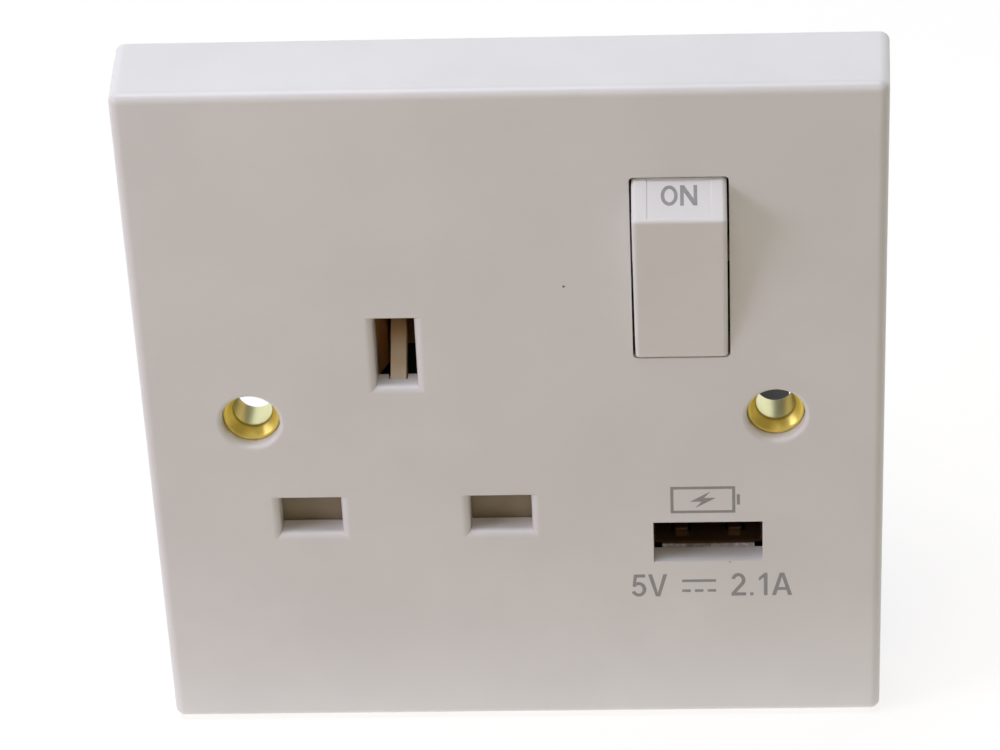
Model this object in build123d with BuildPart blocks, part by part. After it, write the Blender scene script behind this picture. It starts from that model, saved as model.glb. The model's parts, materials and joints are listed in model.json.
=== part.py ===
from build123d import *
import math
import os

# A 13 A switched wall socket with one USB charging port, in millimetres, +Z up.
# The origin is on the wall plane, midway between the two fixing holes, and the front faces -Y.
# Depths count from the front face of the plate towards the wall.

os.makedirs("parts", exist_ok=True)

# Faceplate
plate_size = 86.0
plate_depth = 11.5
plate_draft = 2.5
plate_edge = 1.15
front_wall = 3.0
skirt_wall = 2.4
rib_thickness = 1.2
rib_offset = 19.0
overcut = 1.0

# Fixing holes and their brass eyelets
fixing_spacing = 60.3
eyelet_bore = 2.25
eyelet_wall = 0.5
eyelet_rim = 3.25
eyelet_rim_width = 0.3
eyelet_rim_round = 0.12
eyelet_flare = 1.5
eyelet_throat_round = 0.5
eyelet_sunk = 1.4
eyelet_lip = 0.5
eyelet_recess = 3.35
recess_round = 0.6
eyelet_seat_gap = 0.03
eyelet_flange = 3.7
boss_radius = 5.2
boss_height = 2.6

# Pin slots
socket_x = -13.0
live_z = -13.05
pin_spacing = 22.2
live_slot = (7.2, 5.2)
earth_slot = (4.7, 9.3)
slot_lead_in = 0.9
live_reach = 17.7
earth_reach = 22.7

# Shutter and its cover
slide_gap = 0.2
shutter_thickness = 1.8
shutter_margin = 1.0
shutter_overlap = 0.55
shutter_travel = 5.5
stem_width = 5.0
stem_drop = 1.0
tongue_width = 1.8
tongue_nose = 0.95
tongue_rise = 5.8
tongue_foot = 0.8
tongue_thickness = 2.8
cover_thickness = 1.5
cover_play = 0.1
cover_edge = 1.1
tab_half = 6.0
window_margin = 0.2
earth_window_drop = 2.4
tab_margin = 1.75
post_radius = 1.8
stake_radius = 0.95
stake_gap = 0.05
spring_peg = 0.8

# Rocker
rocker_x = 19.5
rocker_inset = 13.3
rocker_opening = (11.0, 23.4)
opening_corner = 0.5
opening_lip = 0.8
rocker_side_gap = 0.25
rocker_end_gap = 0.28
rocker_wall = 1.5
rocker_swing = 15.0
ridge_offset = 7.95
ridge_proud = 3.5
top_sunk = 0.3
bottom_proud = 0.15
rocker_back = 3.5
ridge_round = 0.5
rocker_edge = 0.55
pivot_setback = 1.6
trunnion_radius = 1.5
trunnion_length = 1.4
bearing_gap = 0.06
lug_thickness = 1.8
lug_half_height = 3.4
snap_mouth = 2.5
label_width = 7.1
label_sunk = 0.04

# Plunger in the rocker's post
post_outer = 3.0
plunger_radius = 1.95
plunger_gap = 0.08
plunger_tip = 1.4
plunger_clear = 0.12
plunger_length = 7.0
post_length = 8.4
post_bore_floor = 0.6

# See-saw contact
blade_width = 6.0
blade_thickness = 1.0
blade_swing = 9.5
blade_bend = 11.0
blade_long_arm = 10.2
blade_short_arm = 6.0
blade_ridge = 0.9
blade_ridge_gap = 0.1
tip_reach = 8.8
tip_radius = 1.5
tip_thickness = 0.8
tip_gap = 0.04
cheek_thickness = 0.8
cheek_half = 1.5
cheek_gap = 0.2

# Brass strips and jaws
strip = 0.8
strip_bend = 1.0
bus_width = 5.0
bus_turn = 3.5
bus_x = 3.5
bus_drop = 7.7
jaw_start = 7.6
jaw_throat_run = 2.6
jaw_flare = 3.0
jaw_throat = 2.1
jaw_root = 2.8
live_jaw_width = 5.2
earth_jaw_width = 7.0
earth_jaw_drop = 4.0
pin_end_room = 1.0
air_gap = 3.0

# Terminals
terminal_block = (8.0, 9.0, 9.0)
terminal_inset = 6.7
neutral_terminal_x = -20.2
wire_hole = 2.25
wire_hole_depth = 3.4
tenon = 4.0
tenon_gap = 0.1
block_chamfer = 0.4
screw_shank = 1.72
screw_hole = 1.75
screw_head = 2.8
screw_head_height = 1.6
screw_backed_off = 0.2
screw_slot = (0.9, 0.8)

# Rear housing
housing_wall = 1.8
housing_floor = 2.0
housing_height = 66.0
housing_left = -29.0
housing_right = 32.0
flange_left = -31.5
flange_right = 33.5
flange_thickness = 1.5
notch_x = 23.5
notch_height = 12.0
housing_corner = 2.0
housing_bevel = 2.0
pocket_side_gap = 1.2
pocket_wall = 1.5
pocket_inner_gap = 1.3
housing_screw_inset = 5.7
top_screw_x = (-24.0, 3.5)
bottom_screw_x = 2.5
side_screw_spot = (28.2, 12.4)
column_radius = 3.4
housing_screw_shank = 1.2
housing_screw_head = 2.2
housing_screw_head_height = 1.8
housing_screw_grip = 6.0
housing_screw_gap = 0.05
housing_screw_bite = 2.6
column_counterbore = 2.5
boss_outer = 2.75
pedestal_half = 3.2

# Earth strap
strap_width = 8.4
strap_end = 4.4
strap_gap = 0.2
strap_bend = 1.4

# USB port and charger board
usb_x = 22.2
usb_z = -17.4
usb_opening = (12.75, 5.6)
usb_shell_inner = (12.5, 5.12)
usb_shell_wall = 0.3
usb_shell_gap = 0.1
usb_shell_depth = 14.5
usb_lip_width = 10.9
usb_side_lip = 3.4
usb_lip_run = 0.9
usb_lip_rise = 0.35
usb_tongue_size = (11.1, 1.84)
usb_tongue_lift = 0.84
usb_tongue_sunk = 1.3
usb_block_depth = 2.6
usb_block_gap = 0.1
usb_contact = (1.0, 0.25, 7.5)
usb_contact_spots = [-3.5, -1.0, 1.0, 3.5]
usb_window = (2.4, 5.0)
usb_window_setback = 3.0
usb_window_offset = 3.2
usb_leaf_gap = 0.4
board_thickness = 1.6
board_left = 8.5
board_right = 29.8
board_top = -9.8
board_margin = 0.4
ledge = 0.9
core_leg = 3.6
core_window = (2.6, 7.0)
core_yoke = (2.0, 2.2)
core_thickness = 5.0
coil_build = 2.2
coil_gap = 0.1
transformer_place = (16.1, 0.36)
input_capacitor_place = (25.9, 0.23)
input_capacitor_size = (3.2, 10.0)
output_capacitor_places = [(25.6, 0.66), (20.4, 0.83)]
output_capacitor_size = (2.5, 8.0)
chip_place = (14.6, 0.855)
chip_size = (4.7, 3.9, 1.5)
lead_radius = 0.7
lead_bend = 1.6
lead_setback = 2.6
lead_end_x = 10.8
line_lead_z = -11.0
neutral_lead_z = -18.3

# Springs
rocker_spring_radius = 1.35
rocker_spring_wire = 0.4
rocker_spring_turns = 5
shutter_spring_radius = 1.25
shutter_spring_wire = 0.36
shutter_spring_turns = 7

# Places and depths that follow from the sizes above
fixing_x = fixing_spacing / 2
edge_z = housing_height / 2
rocker_z = edge_z - rocker_inset
bus_z = rocker_z - bus_drop
terminal_z = edge_z - terminal_inset
line_terminal_x = rocker_x
earth_terminal_x = socket_x
top_screw_z = edge_z - housing_screw_inset
housing_screw_spots = [(x, top_screw_z) for x in top_screw_x]
housing_screw_spots += [(bottom_screw_x, -top_screw_z), side_screw_spot]
live_spots = [(socket_x - pin_spacing / 2, live_z), (socket_x + pin_spacing / 2, live_z)]
earth_z = live_z + pin_spacing
earth_spot = (socket_x, earth_z)
earth_sill = earth_z - earth_slot[1] / 2
live_sill = live_z - live_slot[1] / 2

boss_back = front_wall + boss_height
spring_depth = front_wall + shutter_spring_radius + shutter_spring_wire / 2 + slide_gap
ear_back = boss_back + strip
shutter_front = front_wall + slide_gap
shutter_back = shutter_front + shutter_thickness
cover_front = shutter_back + slide_gap
cover_back = cover_front + cover_thickness
housing_front = cover_back + cover_play
live_base = live_reach + pin_end_room
bus_front = live_base + strip
bus_back = bus_front + strip
block_front = bus_back + pocket_wall
block_back = block_front + terminal_block[2]
housing_back = block_back + screw_backed_off + screw_head_height + screw_backed_off * 2
floor_front = housing_back - housing_floor
earth_base = earth_reach + pin_end_room
strap_front = earth_base + strip

shell_front = front_wall + usb_shell_gap
shell_back = shell_front + usb_shell_depth
board_back = shell_back + board_thickness
ledge_bottom = -edge_z + housing_wall
board_bottom = ledge_bottom + board_margin

pivot_depth = front_wall + pivot_setback
half_swing = rocker_swing / 2
post_direction = (0, math.cos(math.radians(half_swing)), math.sin(math.radians(half_swing)))
pivot_point = (rocker_x, pivot_depth - plate_depth, rocker_z)
rocker_width = rocker_opening[0] - 2 * rocker_side_gap
rocker_top = rocker_z + rocker_opening[1] / 2 - rocker_end_gap
rocker_bottom = rocker_z - rocker_opening[1] / 2 + rocker_end_gap

# The see-saw's tip touches the fixed tip at the ON end of its swing, which sets its pivot's depth
blade_height = blade_ridge + blade_ridge_gap + blade_thickness
bend = math.radians(blade_bend)
swing = math.radians(blade_swing)
tip_drop = blade_thickness + tip_thickness
tip_along = tip_reach * math.cos(bend) + tip_drop * math.sin(bend)
tip_ahead = blade_height + tip_reach * math.sin(bend) - tip_drop * math.cos(bend)
tip_offset = tip_along * math.cos(swing) + tip_ahead * math.sin(swing)
tip_lead = tip_ahead * math.cos(swing) - tip_along * math.sin(swing)
blade_pivot_depth = bus_front - tip_thickness - tip_gap + tip_lead
plunger_reach = blade_pivot_depth - blade_height - plunger_clear - pivot_depth


def depth_plane(depth):
    """A plane parallel to the wall, seen from the front: sketch x is X and sketch y is Z."""
    return Plane.XZ.offset(plate_depth - depth)


def section_plane(x):
    """A plane across the socket: sketch x is depth and sketch y is Z."""
    return Plane(origin=(x, -plate_depth, 0), x_dir=(0, 1, 0), z_dir=(1, 0, 0))


def plan_plane(z):
    """A level plane: sketch x is X and sketch y is depth."""
    return Plane(origin=(0, -plate_depth, z), x_dir=(1, 0, 0), z_dir=(0, 0, 1))


def turned(points, base, direction=(0, 1, 0)):
    """A round solid about a line from base; each point is (radius, distance along the line)."""
    across = (0, -direction[2], direction[1])
    with BuildPart() as body:
        with BuildSketch(Plane(origin=base, x_dir=(1, 0, 0), z_dir=across)):
            with BuildLine():
                Polyline(*points, close=True)
            make_face()
        revolve(axis=Axis(base, direction))
    return body.part


def front_point(x, z):
    """The point of the front face at x, z."""
    return (x, -plate_depth, z)


def outline(left, right, inset=0.0):
    """The housing's outline with its two fixing notches; an inset outline has square corners."""
    with BuildSketch() as shape:
        with Locations(((left + right) / 2, 0)):
            if inset:
                Rectangle(right - left - 2 * inset, housing_height - 2 * inset)
            else:
                RectangleRounded(right - left, housing_height, housing_corner)
        notch = notch_height + 2 * inset
        with Locations((left, 0)):
            Rectangle(2 * (-notch_x - left + inset), notch, mode=Mode.SUBTRACT)
        with Locations((right, 0)):
            Rectangle(2 * (right - notch_x + inset), notch, mode=Mode.SUBTRACT)
    return shape.sketch


def lead_in_edges(edges):
    """Of some edges of the front face, those at the sides and sills of the pin slots."""
    slots = [(spot, live_slot) for spot in live_spots] + [(earth_spot, earth_slot)]
    found = []
    for (x, z), (width, height) in slots:
        for edge in edges:
            across, up = edge.center().X - x, edge.center().Z - z
            if abs(across) < width and -height < up < height / 4:
                found.append(edge)
    return found


def keep(builder, name):
    """Label a finished piece and write its file."""
    builder.part.label = name
    export_step(builder.part, f"parts/{name}.step")


# Eyelets: dished brass bushes, riveted through the plate and the ears of the earth strap
lip_depth = eyelet_sunk + eyelet_lip
tube_radius = eyelet_bore + eyelet_wall
taper_depth = lip_depth + (eyelet_rim - tube_radius)
eyelet_end = ear_back + eyelet_wall
eyelet_section = [
    (eyelet_rim, eyelet_sunk),
    (eyelet_rim, lip_depth),
    (tube_radius, taper_depth),
    (tube_radius, ear_back),
    (eyelet_flange, ear_back),
    (eyelet_flange, eyelet_end),
    (eyelet_bore, eyelet_end),
    (eyelet_bore, eyelet_sunk + eyelet_flare),
    (eyelet_rim - eyelet_rim_width, eyelet_sunk),
]
for name, side in (("eyelet_left", -1), ("eyelet_right", 1)):
    with BuildPart() as eyelet:
        add(turned(eyelet_section, front_point(side * fixing_x, 0)))
        circles = eyelet.edges().filter_by(GeomType.CIRCLE)
        throat = circles.group_by(SortBy.RADIUS)[0].sort_by(Axis.Y)[0]
        fillet(throat, eyelet_throat_round)
        fillet(eyelet.edges().filter_by(GeomType.CIRCLE).group_by(Axis.Y)[0], eyelet_rim_round)
    keep(eyelet, name)

# Faceplate
eyelet_hole = [
    (0, -overcut),
    (eyelet_recess, -overcut),
    (eyelet_recess, lip_depth),
    (eyelet_rim + eyelet_seat_gap, lip_depth),
    (tube_radius + eyelet_seat_gap, taper_depth),
    (tube_radius + eyelet_seat_gap, boss_back + overcut),
    (0, boss_back + overcut),
]
eyelet_holes = [turned(eyelet_hole, front_point(side * fixing_x, 0)) for side in (-1, 1)]
half_plate = plate_size / 2
rocker_corner_sweep = math.hypot(rocker_top - rocker_z, pivot_depth - top_sunk)
relief_height = 2 * (rocker_corner_sweep + rocker_side_gap)
groove_bottom = earth_sill - tongue_foot - shutter_travel - slide_gap * 2
groove_depth = tongue_nose + slide_gap / 2
bar_height = live_slot[1] + shutter_margin + shutter_overlap
bar_bottom = live_sill - shutter_margin
tab_bottom = ledge_bottom + tab_margin
spring_seat = tab_bottom + cover_edge + 2 * stake_radius
shutter_spring_length = bar_bottom - spring_seat
cover_top = earth_z + earth_slot[1] / 2 + cover_edge + window_margin
cover_shoulder = -notch_height / 2 - housing_wall - slide_gap
cover_left = flange_left + housing_wall + slide_gap * 2
cover_waist = -notch_x + housing_wall + slide_gap
cover_right = live_spots[1][0] + live_slot[0] / 2 + cover_edge * 2
cover_bottom = bar_bottom - shutter_travel - cover_edge
post_spots = [
    (socket_x - pin_spacing / 4, cover_shoulder + post_radius),
    (socket_x + pin_spacing / 2, cover_shoulder + post_radius),
    (socket_x - pin_spacing / 4, cover_top - post_radius),
    (socket_x + pin_spacing / 2, cover_top - post_radius),
    (socket_x - tab_half + post_radius, spring_seat),
    (socket_x + tab_half - post_radius, spring_seat),
]
with BuildPart() as faceplate:
    with BuildSketch(Plane.XZ):
        Rectangle(plate_size, plate_size)
    extrude(amount=plate_depth, taper=plate_draft)
    fillet(faceplate.edges() - faceplate.faces().sort_by(Axis.Y)[-1].edges(), plate_edge)
    with BuildSketch(Plane.XZ):
        Rectangle(plate_size - 2 * skirt_wall, plate_size - 2 * skirt_wall)
    extrude(amount=plate_depth - front_wall, taper=plate_draft, mode=Mode.SUBTRACT)
    # The rim that the rear housing closes, with ribs out to the skirt
    with BuildSketch(depth_plane(front_wall)):
        add(outline(flange_left, flange_right))
        add(outline(flange_left, flange_right, housing_wall), mode=Mode.SUBTRACT)
    extrude(amount=front_wall - housing_front)
    with BuildSketch(depth_plane(front_wall)):
        reach = half_plate - skirt_wall
        for side in (-1, 1):
            for edge in (-1, 1):
                inner_x = flange_right if edge > 0 else -flange_left
                with Locations((edge * (inner_x + reach) / 2, side * rib_offset)):
                    Rectangle(reach - inner_x + rib_thickness, rib_thickness)
                with Locations((side * rib_offset, edge * (edge_z + reach) / 2)):
                    Rectangle(rib_thickness, reach - edge_z + rib_thickness)
    extrude(amount=front_wall - housing_front)
    # Bosses for the eyelets, the cover's posts and the housing screws
    with BuildSketch(depth_plane(front_wall)):
        with Locations((-fixing_x, 0), (fixing_x, 0)):
            Circle(boss_radius)
    extrude(amount=-boss_height)
    with BuildSketch(depth_plane(front_wall)):
        with Locations(*post_spots):
            Circle(post_radius)
    extrude(amount=front_wall - cover_front)
    with BuildSketch(depth_plane(cover_front)):
        with Locations(*post_spots):
            Circle(stake_radius)
    extrude(amount=-cover_thickness)
    with BuildSketch(depth_plane(front_wall)):
        with Locations(*housing_screw_spots):
            Circle(boss_outer)
    extrude(amount=front_wall - housing_front)
    with BuildSketch(depth_plane(housing_front)):
        with Locations(*housing_screw_spots):
            Circle(housing_screw_shank + housing_screw_gap)
    extrude(amount=housing_screw_bite + housing_screw_gap * 2, mode=Mode.SUBTRACT)
    # Seat for the shutter's spring
    with BuildSketch(depth_plane(front_wall)):
        with Locations((socket_x, spring_seat - rib_thickness / 2)):
            Rectangle(stem_width, rib_thickness)
    extrude(amount=front_wall - shutter_back)
    # Eyelet holes with round mouths
    add(eyelet_holes, mode=Mode.SUBTRACT)
    mouths = faceplate.edges().filter_by(GeomType.CIRCLE).group_by(Axis.Y)[0]
    fillet(mouths, recess_round)
    # Pin slots, with round lead-ins at their sides and sills, and the groove for the shutter's tongue
    with BuildSketch(depth_plane(0)):
        with Locations(*live_spots):
            Rectangle(*live_slot)
        with Locations(earth_spot):
            Rectangle(*earth_slot)
    extrude(amount=-front_wall, mode=Mode.SUBTRACT)
    fillet(lead_in_edges(faceplate.edges().group_by(Axis.Y)[0]), slot_lead_in)
    with BuildSketch(depth_plane(front_wall)):
        with Locations((socket_x, (groove_bottom + earth_z) / 2)):
            Rectangle(tongue_width + 2 * slide_gap, earth_z - groove_bottom)
    extrude(amount=groove_depth, mode=Mode.SUBTRACT)
    # Rocker opening, relieved behind its lip, with snap bearings for the trunnions
    with BuildSketch(depth_plane(0)):
        with Locations((rocker_x, rocker_z)):
            RectangleRounded(*rocker_opening, opening_corner)
    extrude(amount=-front_wall, mode=Mode.SUBTRACT)
    with BuildSketch(depth_plane(opening_lip)):
        with Locations((rocker_x, rocker_z)):
            Rectangle(rocker_opening[0], relief_height)
    extrude(amount=opening_lip - housing_front, mode=Mode.SUBTRACT)
    lug_back = pivot_depth + trunnion_radius + rib_thickness / 2
    for side in (-1, 1):
        with BuildSketch(section_plane(rocker_x + side * rocker_opening[0] / 2)):
            with Locations(((front_wall + lug_back) / 2, rocker_z)):
                Rectangle(lug_back - front_wall, 2 * lug_half_height)
            with Locations((pivot_depth, rocker_z)):
                Circle(trunnion_radius + bearing_gap, mode=Mode.SUBTRACT)
            with Locations((lug_back, rocker_z)):
                Rectangle(2 * (lug_back - pivot_depth), snap_mouth, mode=Mode.SUBTRACT)
        extrude(amount=side * lug_thickness)
    # Port opening
    with BuildSketch(depth_plane(0)):
        with Locations((usb_x, usb_z)):
            Rectangle(*usb_opening)
    extrude(amount=-front_wall, mode=Mode.SUBTRACT)
keep(faceplate, "faceplate")

# Shutter: a bar across both live slots, with a stem up to the ramp in the earth slot
ramp_foot = earth_sill - tongue_foot
stem_top = ramp_foot - stem_drop
nose_depth = front_wall - tongue_nose
ramp_depth = nose_depth + tongue_rise
ramp_top = earth_sill - tongue_foot / 2 + tongue_rise
with BuildPart() as shutter:
    with BuildSketch(depth_plane(shutter_front)):
        with Locations((socket_x, bar_bottom + bar_height / 2)):
            Rectangle(pin_spacing + live_slot[0] + 2 * shutter_margin, bar_height)
        with Locations((socket_x, (bar_bottom + stem_top) / 2)):
            Rectangle(stem_width, stem_top - bar_bottom)
    extrude(amount=-shutter_thickness)
    with BuildSketch(section_plane(socket_x - tongue_width / 2)):
        with BuildLine():
            Polyline(
                (nose_depth, ramp_foot),
                (nose_depth, ramp_top - tongue_rise),
                (ramp_depth, ramp_top),
                (ramp_depth, ramp_top - tongue_thickness),
                (shutter_back, ramp_top - tongue_thickness - ramp_depth + shutter_back),
                (shutter_back, ramp_foot - stem_width),
                (shutter_front, ramp_foot - stem_width),
                (shutter_front, ramp_foot),
                close=True,
            )
        make_face()
    extrude(amount=tongue_width)
    with BuildSketch(Plane.XY.offset(bar_bottom)):
        with Locations((socket_x, spring_depth - plate_depth)):
            Circle(spring_peg)
    extrude(amount=-spring_peg * 2)
keep(shutter, "shutter")

# Cover behind the shutter: staked on the faceplate's posts
with BuildPart() as shutter_cover:
    with BuildSketch(depth_plane(cover_front)):
        with BuildLine():
            Polyline(
                (cover_left, cover_shoulder),
                (cover_waist, cover_shoulder),
                (cover_waist, cover_top),
                (cover_right, cover_top),
                (cover_right, cover_bottom),
                (socket_x + tab_half, cover_bottom),
                (socket_x + tab_half, tab_bottom),
                (socket_x - tab_half, tab_bottom),
                (socket_x - tab_half, cover_bottom),
                (cover_left, cover_bottom),
                close=True,
            )
        make_face()
        with Locations(*live_spots):
            Rectangle(
                live_slot[0] + 2 * window_margin, live_slot[1] + 2 * window_margin, mode=Mode.SUBTRACT
            )
        window_height = earth_slot[1] + 2 * window_margin + earth_window_drop
        with Locations((socket_x, earth_z - earth_window_drop / 2)):
            Rectangle(earth_slot[0] + 2 * window_margin, window_height, mode=Mode.SUBTRACT)
        with Locations((socket_x, (groove_bottom + earth_z) / 2)):
            Rectangle(tongue_width + 4 * slide_gap, earth_z - groove_bottom, mode=Mode.SUBTRACT)
        with Locations((socket_x, (spring_seat + live_z) / 2)):
            trough = 2 * (shutter_spring_radius + shutter_spring_wire)
            Rectangle(trough, live_z - spring_seat, mode=Mode.SUBTRACT)
        with Locations(*post_spots):
            Circle(stake_radius + stake_gap, mode=Mode.SUBTRACT)
        with Locations(*housing_screw_spots):
            Circle(boss_outer + slide_gap, mode=Mode.SUBTRACT)
    extrude(amount=-cover_thickness)
keep(shutter_cover, "shutter_cover")


def coil_spring(radius, wire, turns, length, base, direction):
    """A round-wire compression spring that starts at base."""
    with BuildPart() as body:
        with BuildLine() as path:
            start = Vector(*base) + Vector(*direction) * wire / 2
            Helix((length - wire) / turns, length - wire, radius, start, direction)
        with BuildSketch(Plane(origin=path.line @ 0, z_dir=path.line % 0)):
            RegularPolygon(wire / 2, 6)
        sweep(is_frenet=True)
    return body.part


with BuildPart() as shutter_spring:
    spring_foot = (socket_x, spring_depth - plate_depth, spring_seat)
    add(
        coil_spring(
            shutter_spring_radius,
            shutter_spring_wire,
            shutter_spring_turns,
            shutter_spring_length,
            spring_foot,
            (0, 0, 1),
        )
    )
keep(shutter_spring, "shutter_spring")

# Rocker, shown ON: the top stands proud and the bottom is pressed in
ridge = (-ridge_proud, rocker_z + ridge_offset)
rocker_profile = [
    (top_sunk, rocker_top),
    ridge,
    (-bottom_proud, rocker_bottom),
    (front_wall + rocker_back, rocker_bottom),
    (front_wall + rocker_back, rocker_top),
]
facet_angle = math.atan2(ridge_proud + top_sunk, rocker_top - ridge[1])
facet_middle = ((top_sunk + ridge[0]) / 2, (rocker_top + ridge[1]) / 2)
facet_plane = Plane(
    origin=(rocker_x, facet_middle[0] - plate_depth, facet_middle[1]),
    x_dir=(1, 0, 0),
    z_dir=(0, -math.cos(facet_angle), math.sin(facet_angle)),
)
post_plane = Plane(origin=pivot_point, x_dir=(1, 0, 0), z_dir=post_direction)
post_root = pivot_depth + ridge_proud / 2 - rocker_wall / 2
with BuildPart() as rocker:
    with BuildSketch(section_plane(rocker_x - rocker_width / 2)) as rocker_side:
        with BuildLine():
            Polyline(*rocker_profile, close=True)
        make_face()
        front_corners = rocker_side.vertices().sort_by(Axis.X)[:3]
        fillet(front_corners.sort_by(Axis.Y)[1:], ridge_round)
    extrude(amount=rocker_width)
    sides = rocker.faces().filter_by(Axis.X).edges()
    proud_from = -plate_depth - ridge_proud
    fillet(sides.filter_by_position(Axis.Y, proud_from, opening_lip - plate_depth), rocker_edge)
    with BuildSketch(facet_plane):
        facet_length = math.hypot(ridge_proud + top_sunk, rocker_top - ridge[1])
        with Locations((0, ridge_round)):
            Rectangle(label_width, facet_length)
    extrude(amount=-label_sunk, mode=Mode.SUBTRACT)
    with BuildSketch(section_plane(rocker_x - rocker_width / 2 + rocker_wall)):
        with BuildLine():
            Polyline(*rocker_profile, close=True)
        make_face()
        offset(amount=-rocker_wall, kind=Kind.INTERSECTION, mode=Mode.REPLACE)
        with Locations((front_wall + rocker_back, rocker_z)):
            Rectangle(2 * rocker_wall, rocker_top - rocker_bottom - 2 * rocker_wall)
    extrude(amount=rocker_width - 2 * rocker_wall, mode=Mode.SUBTRACT)
    with BuildSketch(post_plane.offset(-post_root)):
        Circle(post_outer)
    extrude(amount=post_root + post_length)
    with BuildSketch(post_plane.offset(post_bore_floor)):
        Circle(plunger_radius + plunger_gap)
    extrude(amount=post_length, mode=Mode.SUBTRACT)
    for side in (-1, 1):
        with BuildSketch(section_plane(rocker_x + side * rocker_width / 2)):
            with Locations((pivot_depth, rocker_z)):
                Circle(trunnion_radius)
        extrude(amount=side * trunnion_length)
keep(rocker, "rocker")

# Plunger with a domed tip, and its spring in the rocker's post
plunger_start = plunger_reach - plunger_length
with BuildPart() as rocker_plunger:
    with BuildSketch(post_plane.offset(plunger_start)):
        Circle(plunger_radius)
    extrude(amount=plunger_length - plunger_tip)
    dome = post_plane.offset(plunger_reach - plunger_tip)
    with Locations(Location(dome)):
        Sphere(plunger_tip)
keep(rocker_plunger, "rocker_plunger")

with BuildPart() as rocker_spring:
    spring_base = Vector(*pivot_point) + Vector(*post_direction) * post_bore_floor
    add(
        coil_spring(
            rocker_spring_radius,
            rocker_spring_wire,
            rocker_spring_turns,
            plunger_start - post_bore_floor,
            spring_base,
            post_direction,
        )
    )
keep(rocker_spring, "rocker_spring")

# See-saw contact: a bent strip on a rounded ridge, with a silver tip under its long arm
blade_pivot = (rocker_x, blade_pivot_depth - plate_depth, rocker_z)
blade_plane = Plane(
    origin=blade_pivot,
    x_dir=(0, math.sin(swing), math.cos(swing)),
    z_dir=(1, 0, 0),
)


def blade_point(along, ahead, side=1):
    """A point of the bent strip's section: along one arm from the bend, and ahead of its front."""
    return (
        side * (along * math.cos(bend) - ahead * math.sin(bend)),
        blade_height + along * math.sin(bend) + ahead * math.cos(bend),
    )


with BuildPart() as rocking_contact:
    with BuildSketch(blade_plane.offset(-blade_width / 2)):
        with BuildLine():
            Polyline(
                blade_point(0, 0),
                blade_point(blade_long_arm, 0),
                blade_point(blade_long_arm, -blade_thickness),
                (0, blade_height - blade_thickness / math.cos(bend)),
                blade_point(blade_short_arm, -blade_thickness, -1),
                blade_point(blade_short_arm, 0, -1),
                close=True,
            )
        make_face()
    extrude(amount=blade_width)
keep(rocking_contact, "rocking_contact")

with BuildPart() as moving_tip:
    tip_back = blade_point(tip_reach, -blade_thickness)
    tip_origin = blade_plane.from_local_coords(Vector(*tip_back))
    tip_end = blade_plane.from_local_coords(Vector(*blade_point(tip_reach, -tip_drop)))
    with BuildSketch(Plane(origin=tip_origin, x_dir=(1, 0, 0), z_dir=tip_end - tip_origin)):
        Circle(tip_radius)
    extrude(amount=tip_thickness)
keep(moving_tip, "moving_tip")

with BuildPart() as fixed_tip:
    with BuildSketch(depth_plane(bus_front)):
        with Locations((rocker_x, rocker_z + tip_offset)):
            Circle(tip_radius)
    extrude(amount=tip_thickness)
keep(fixed_tip, "fixed_tip")

# Line side: feed strip, bus with the see-saw's ridge, and jaws
support_top = rocker_z + cheek_half
feed_bottom = support_top + air_gap
feed_top = rocker_z + tip_offset + tip_radius + cheek_thickness
with BuildPart() as line_feed:
    with BuildSketch(depth_plane(bus_front)):
        with Locations((rocker_x, (feed_bottom + feed_top) / 2)):
            Rectangle(bus_width, feed_top - feed_bottom)
    extrude(amount=-strip)
keep(line_feed, "line_feed")

line_spot = live_spots[1]
with BuildPart() as line_bus:
    with BuildSketch(depth_plane(bus_front)):
        with BuildLine():
            FilletPolyline(
                (rocker_x, support_top),
                (rocker_x, bus_z),
                (bus_x, bus_z),
                (bus_x, line_spot[1]),
                (line_spot[0] - live_jaw_width / 2, line_spot[1]),
                radius=bus_turn,
            )
        trace(line_width=bus_width)
        cheek_span = blade_width + 2 * (cheek_gap + cheek_thickness)
        with Locations((rocker_x, rocker_z)):
            Rectangle(cheek_span, 2 * cheek_half)
    extrude(amount=-strip)
    with BuildSketch(section_plane(rocker_x - blade_width / 2)):
        with Locations((blade_pivot_depth, rocker_z)):
            Circle(blade_ridge)
        with Locations(((blade_pivot_depth + bus_front) / 2, rocker_z)):
            Rectangle(bus_front - blade_pivot_depth, 2 * blade_ridge)
    extrude(amount=blade_width)
    cheek_front = blade_pivot_depth - blade_height
    with BuildSketch(depth_plane(bus_front)):
        with Locations((rocker_x, rocker_z)):
            with GridLocations(blade_width + 2 * cheek_gap + cheek_thickness, 0, 2, 1):
                Rectangle(cheek_thickness, 2 * cheek_half)
    extrude(amount=bus_front - cheek_front)
keep(line_bus, "line_bus")


def jaw_path(centre, start, base):
    """Centre line of a folded jaw: flared mouth, throat and flat base, as (across, depth)."""
    throat = start + jaw_throat_run
    half = [(jaw_flare, start), (jaw_throat, throat), (jaw_root, base + strip / 2)]
    return [(centre + a, d) for a, d in half] + [(centre - a, d) for a, d in reversed(half)]


for name, spot in (("neutral_contact", live_spots[0]), ("line_contact", live_spots[1])):
    with BuildPart() as live_contact:
        with BuildSketch(section_plane(spot[0] - live_jaw_width / 2)):
            with BuildLine():
                path = jaw_path(spot[1], jaw_start, live_base)
                FilletPolyline(*[(d, z) for z, d in path], radius=strip_bend)
            trace(line_width=strip)
        extrude(amount=live_jaw_width)
    keep(live_contact, name)

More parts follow.
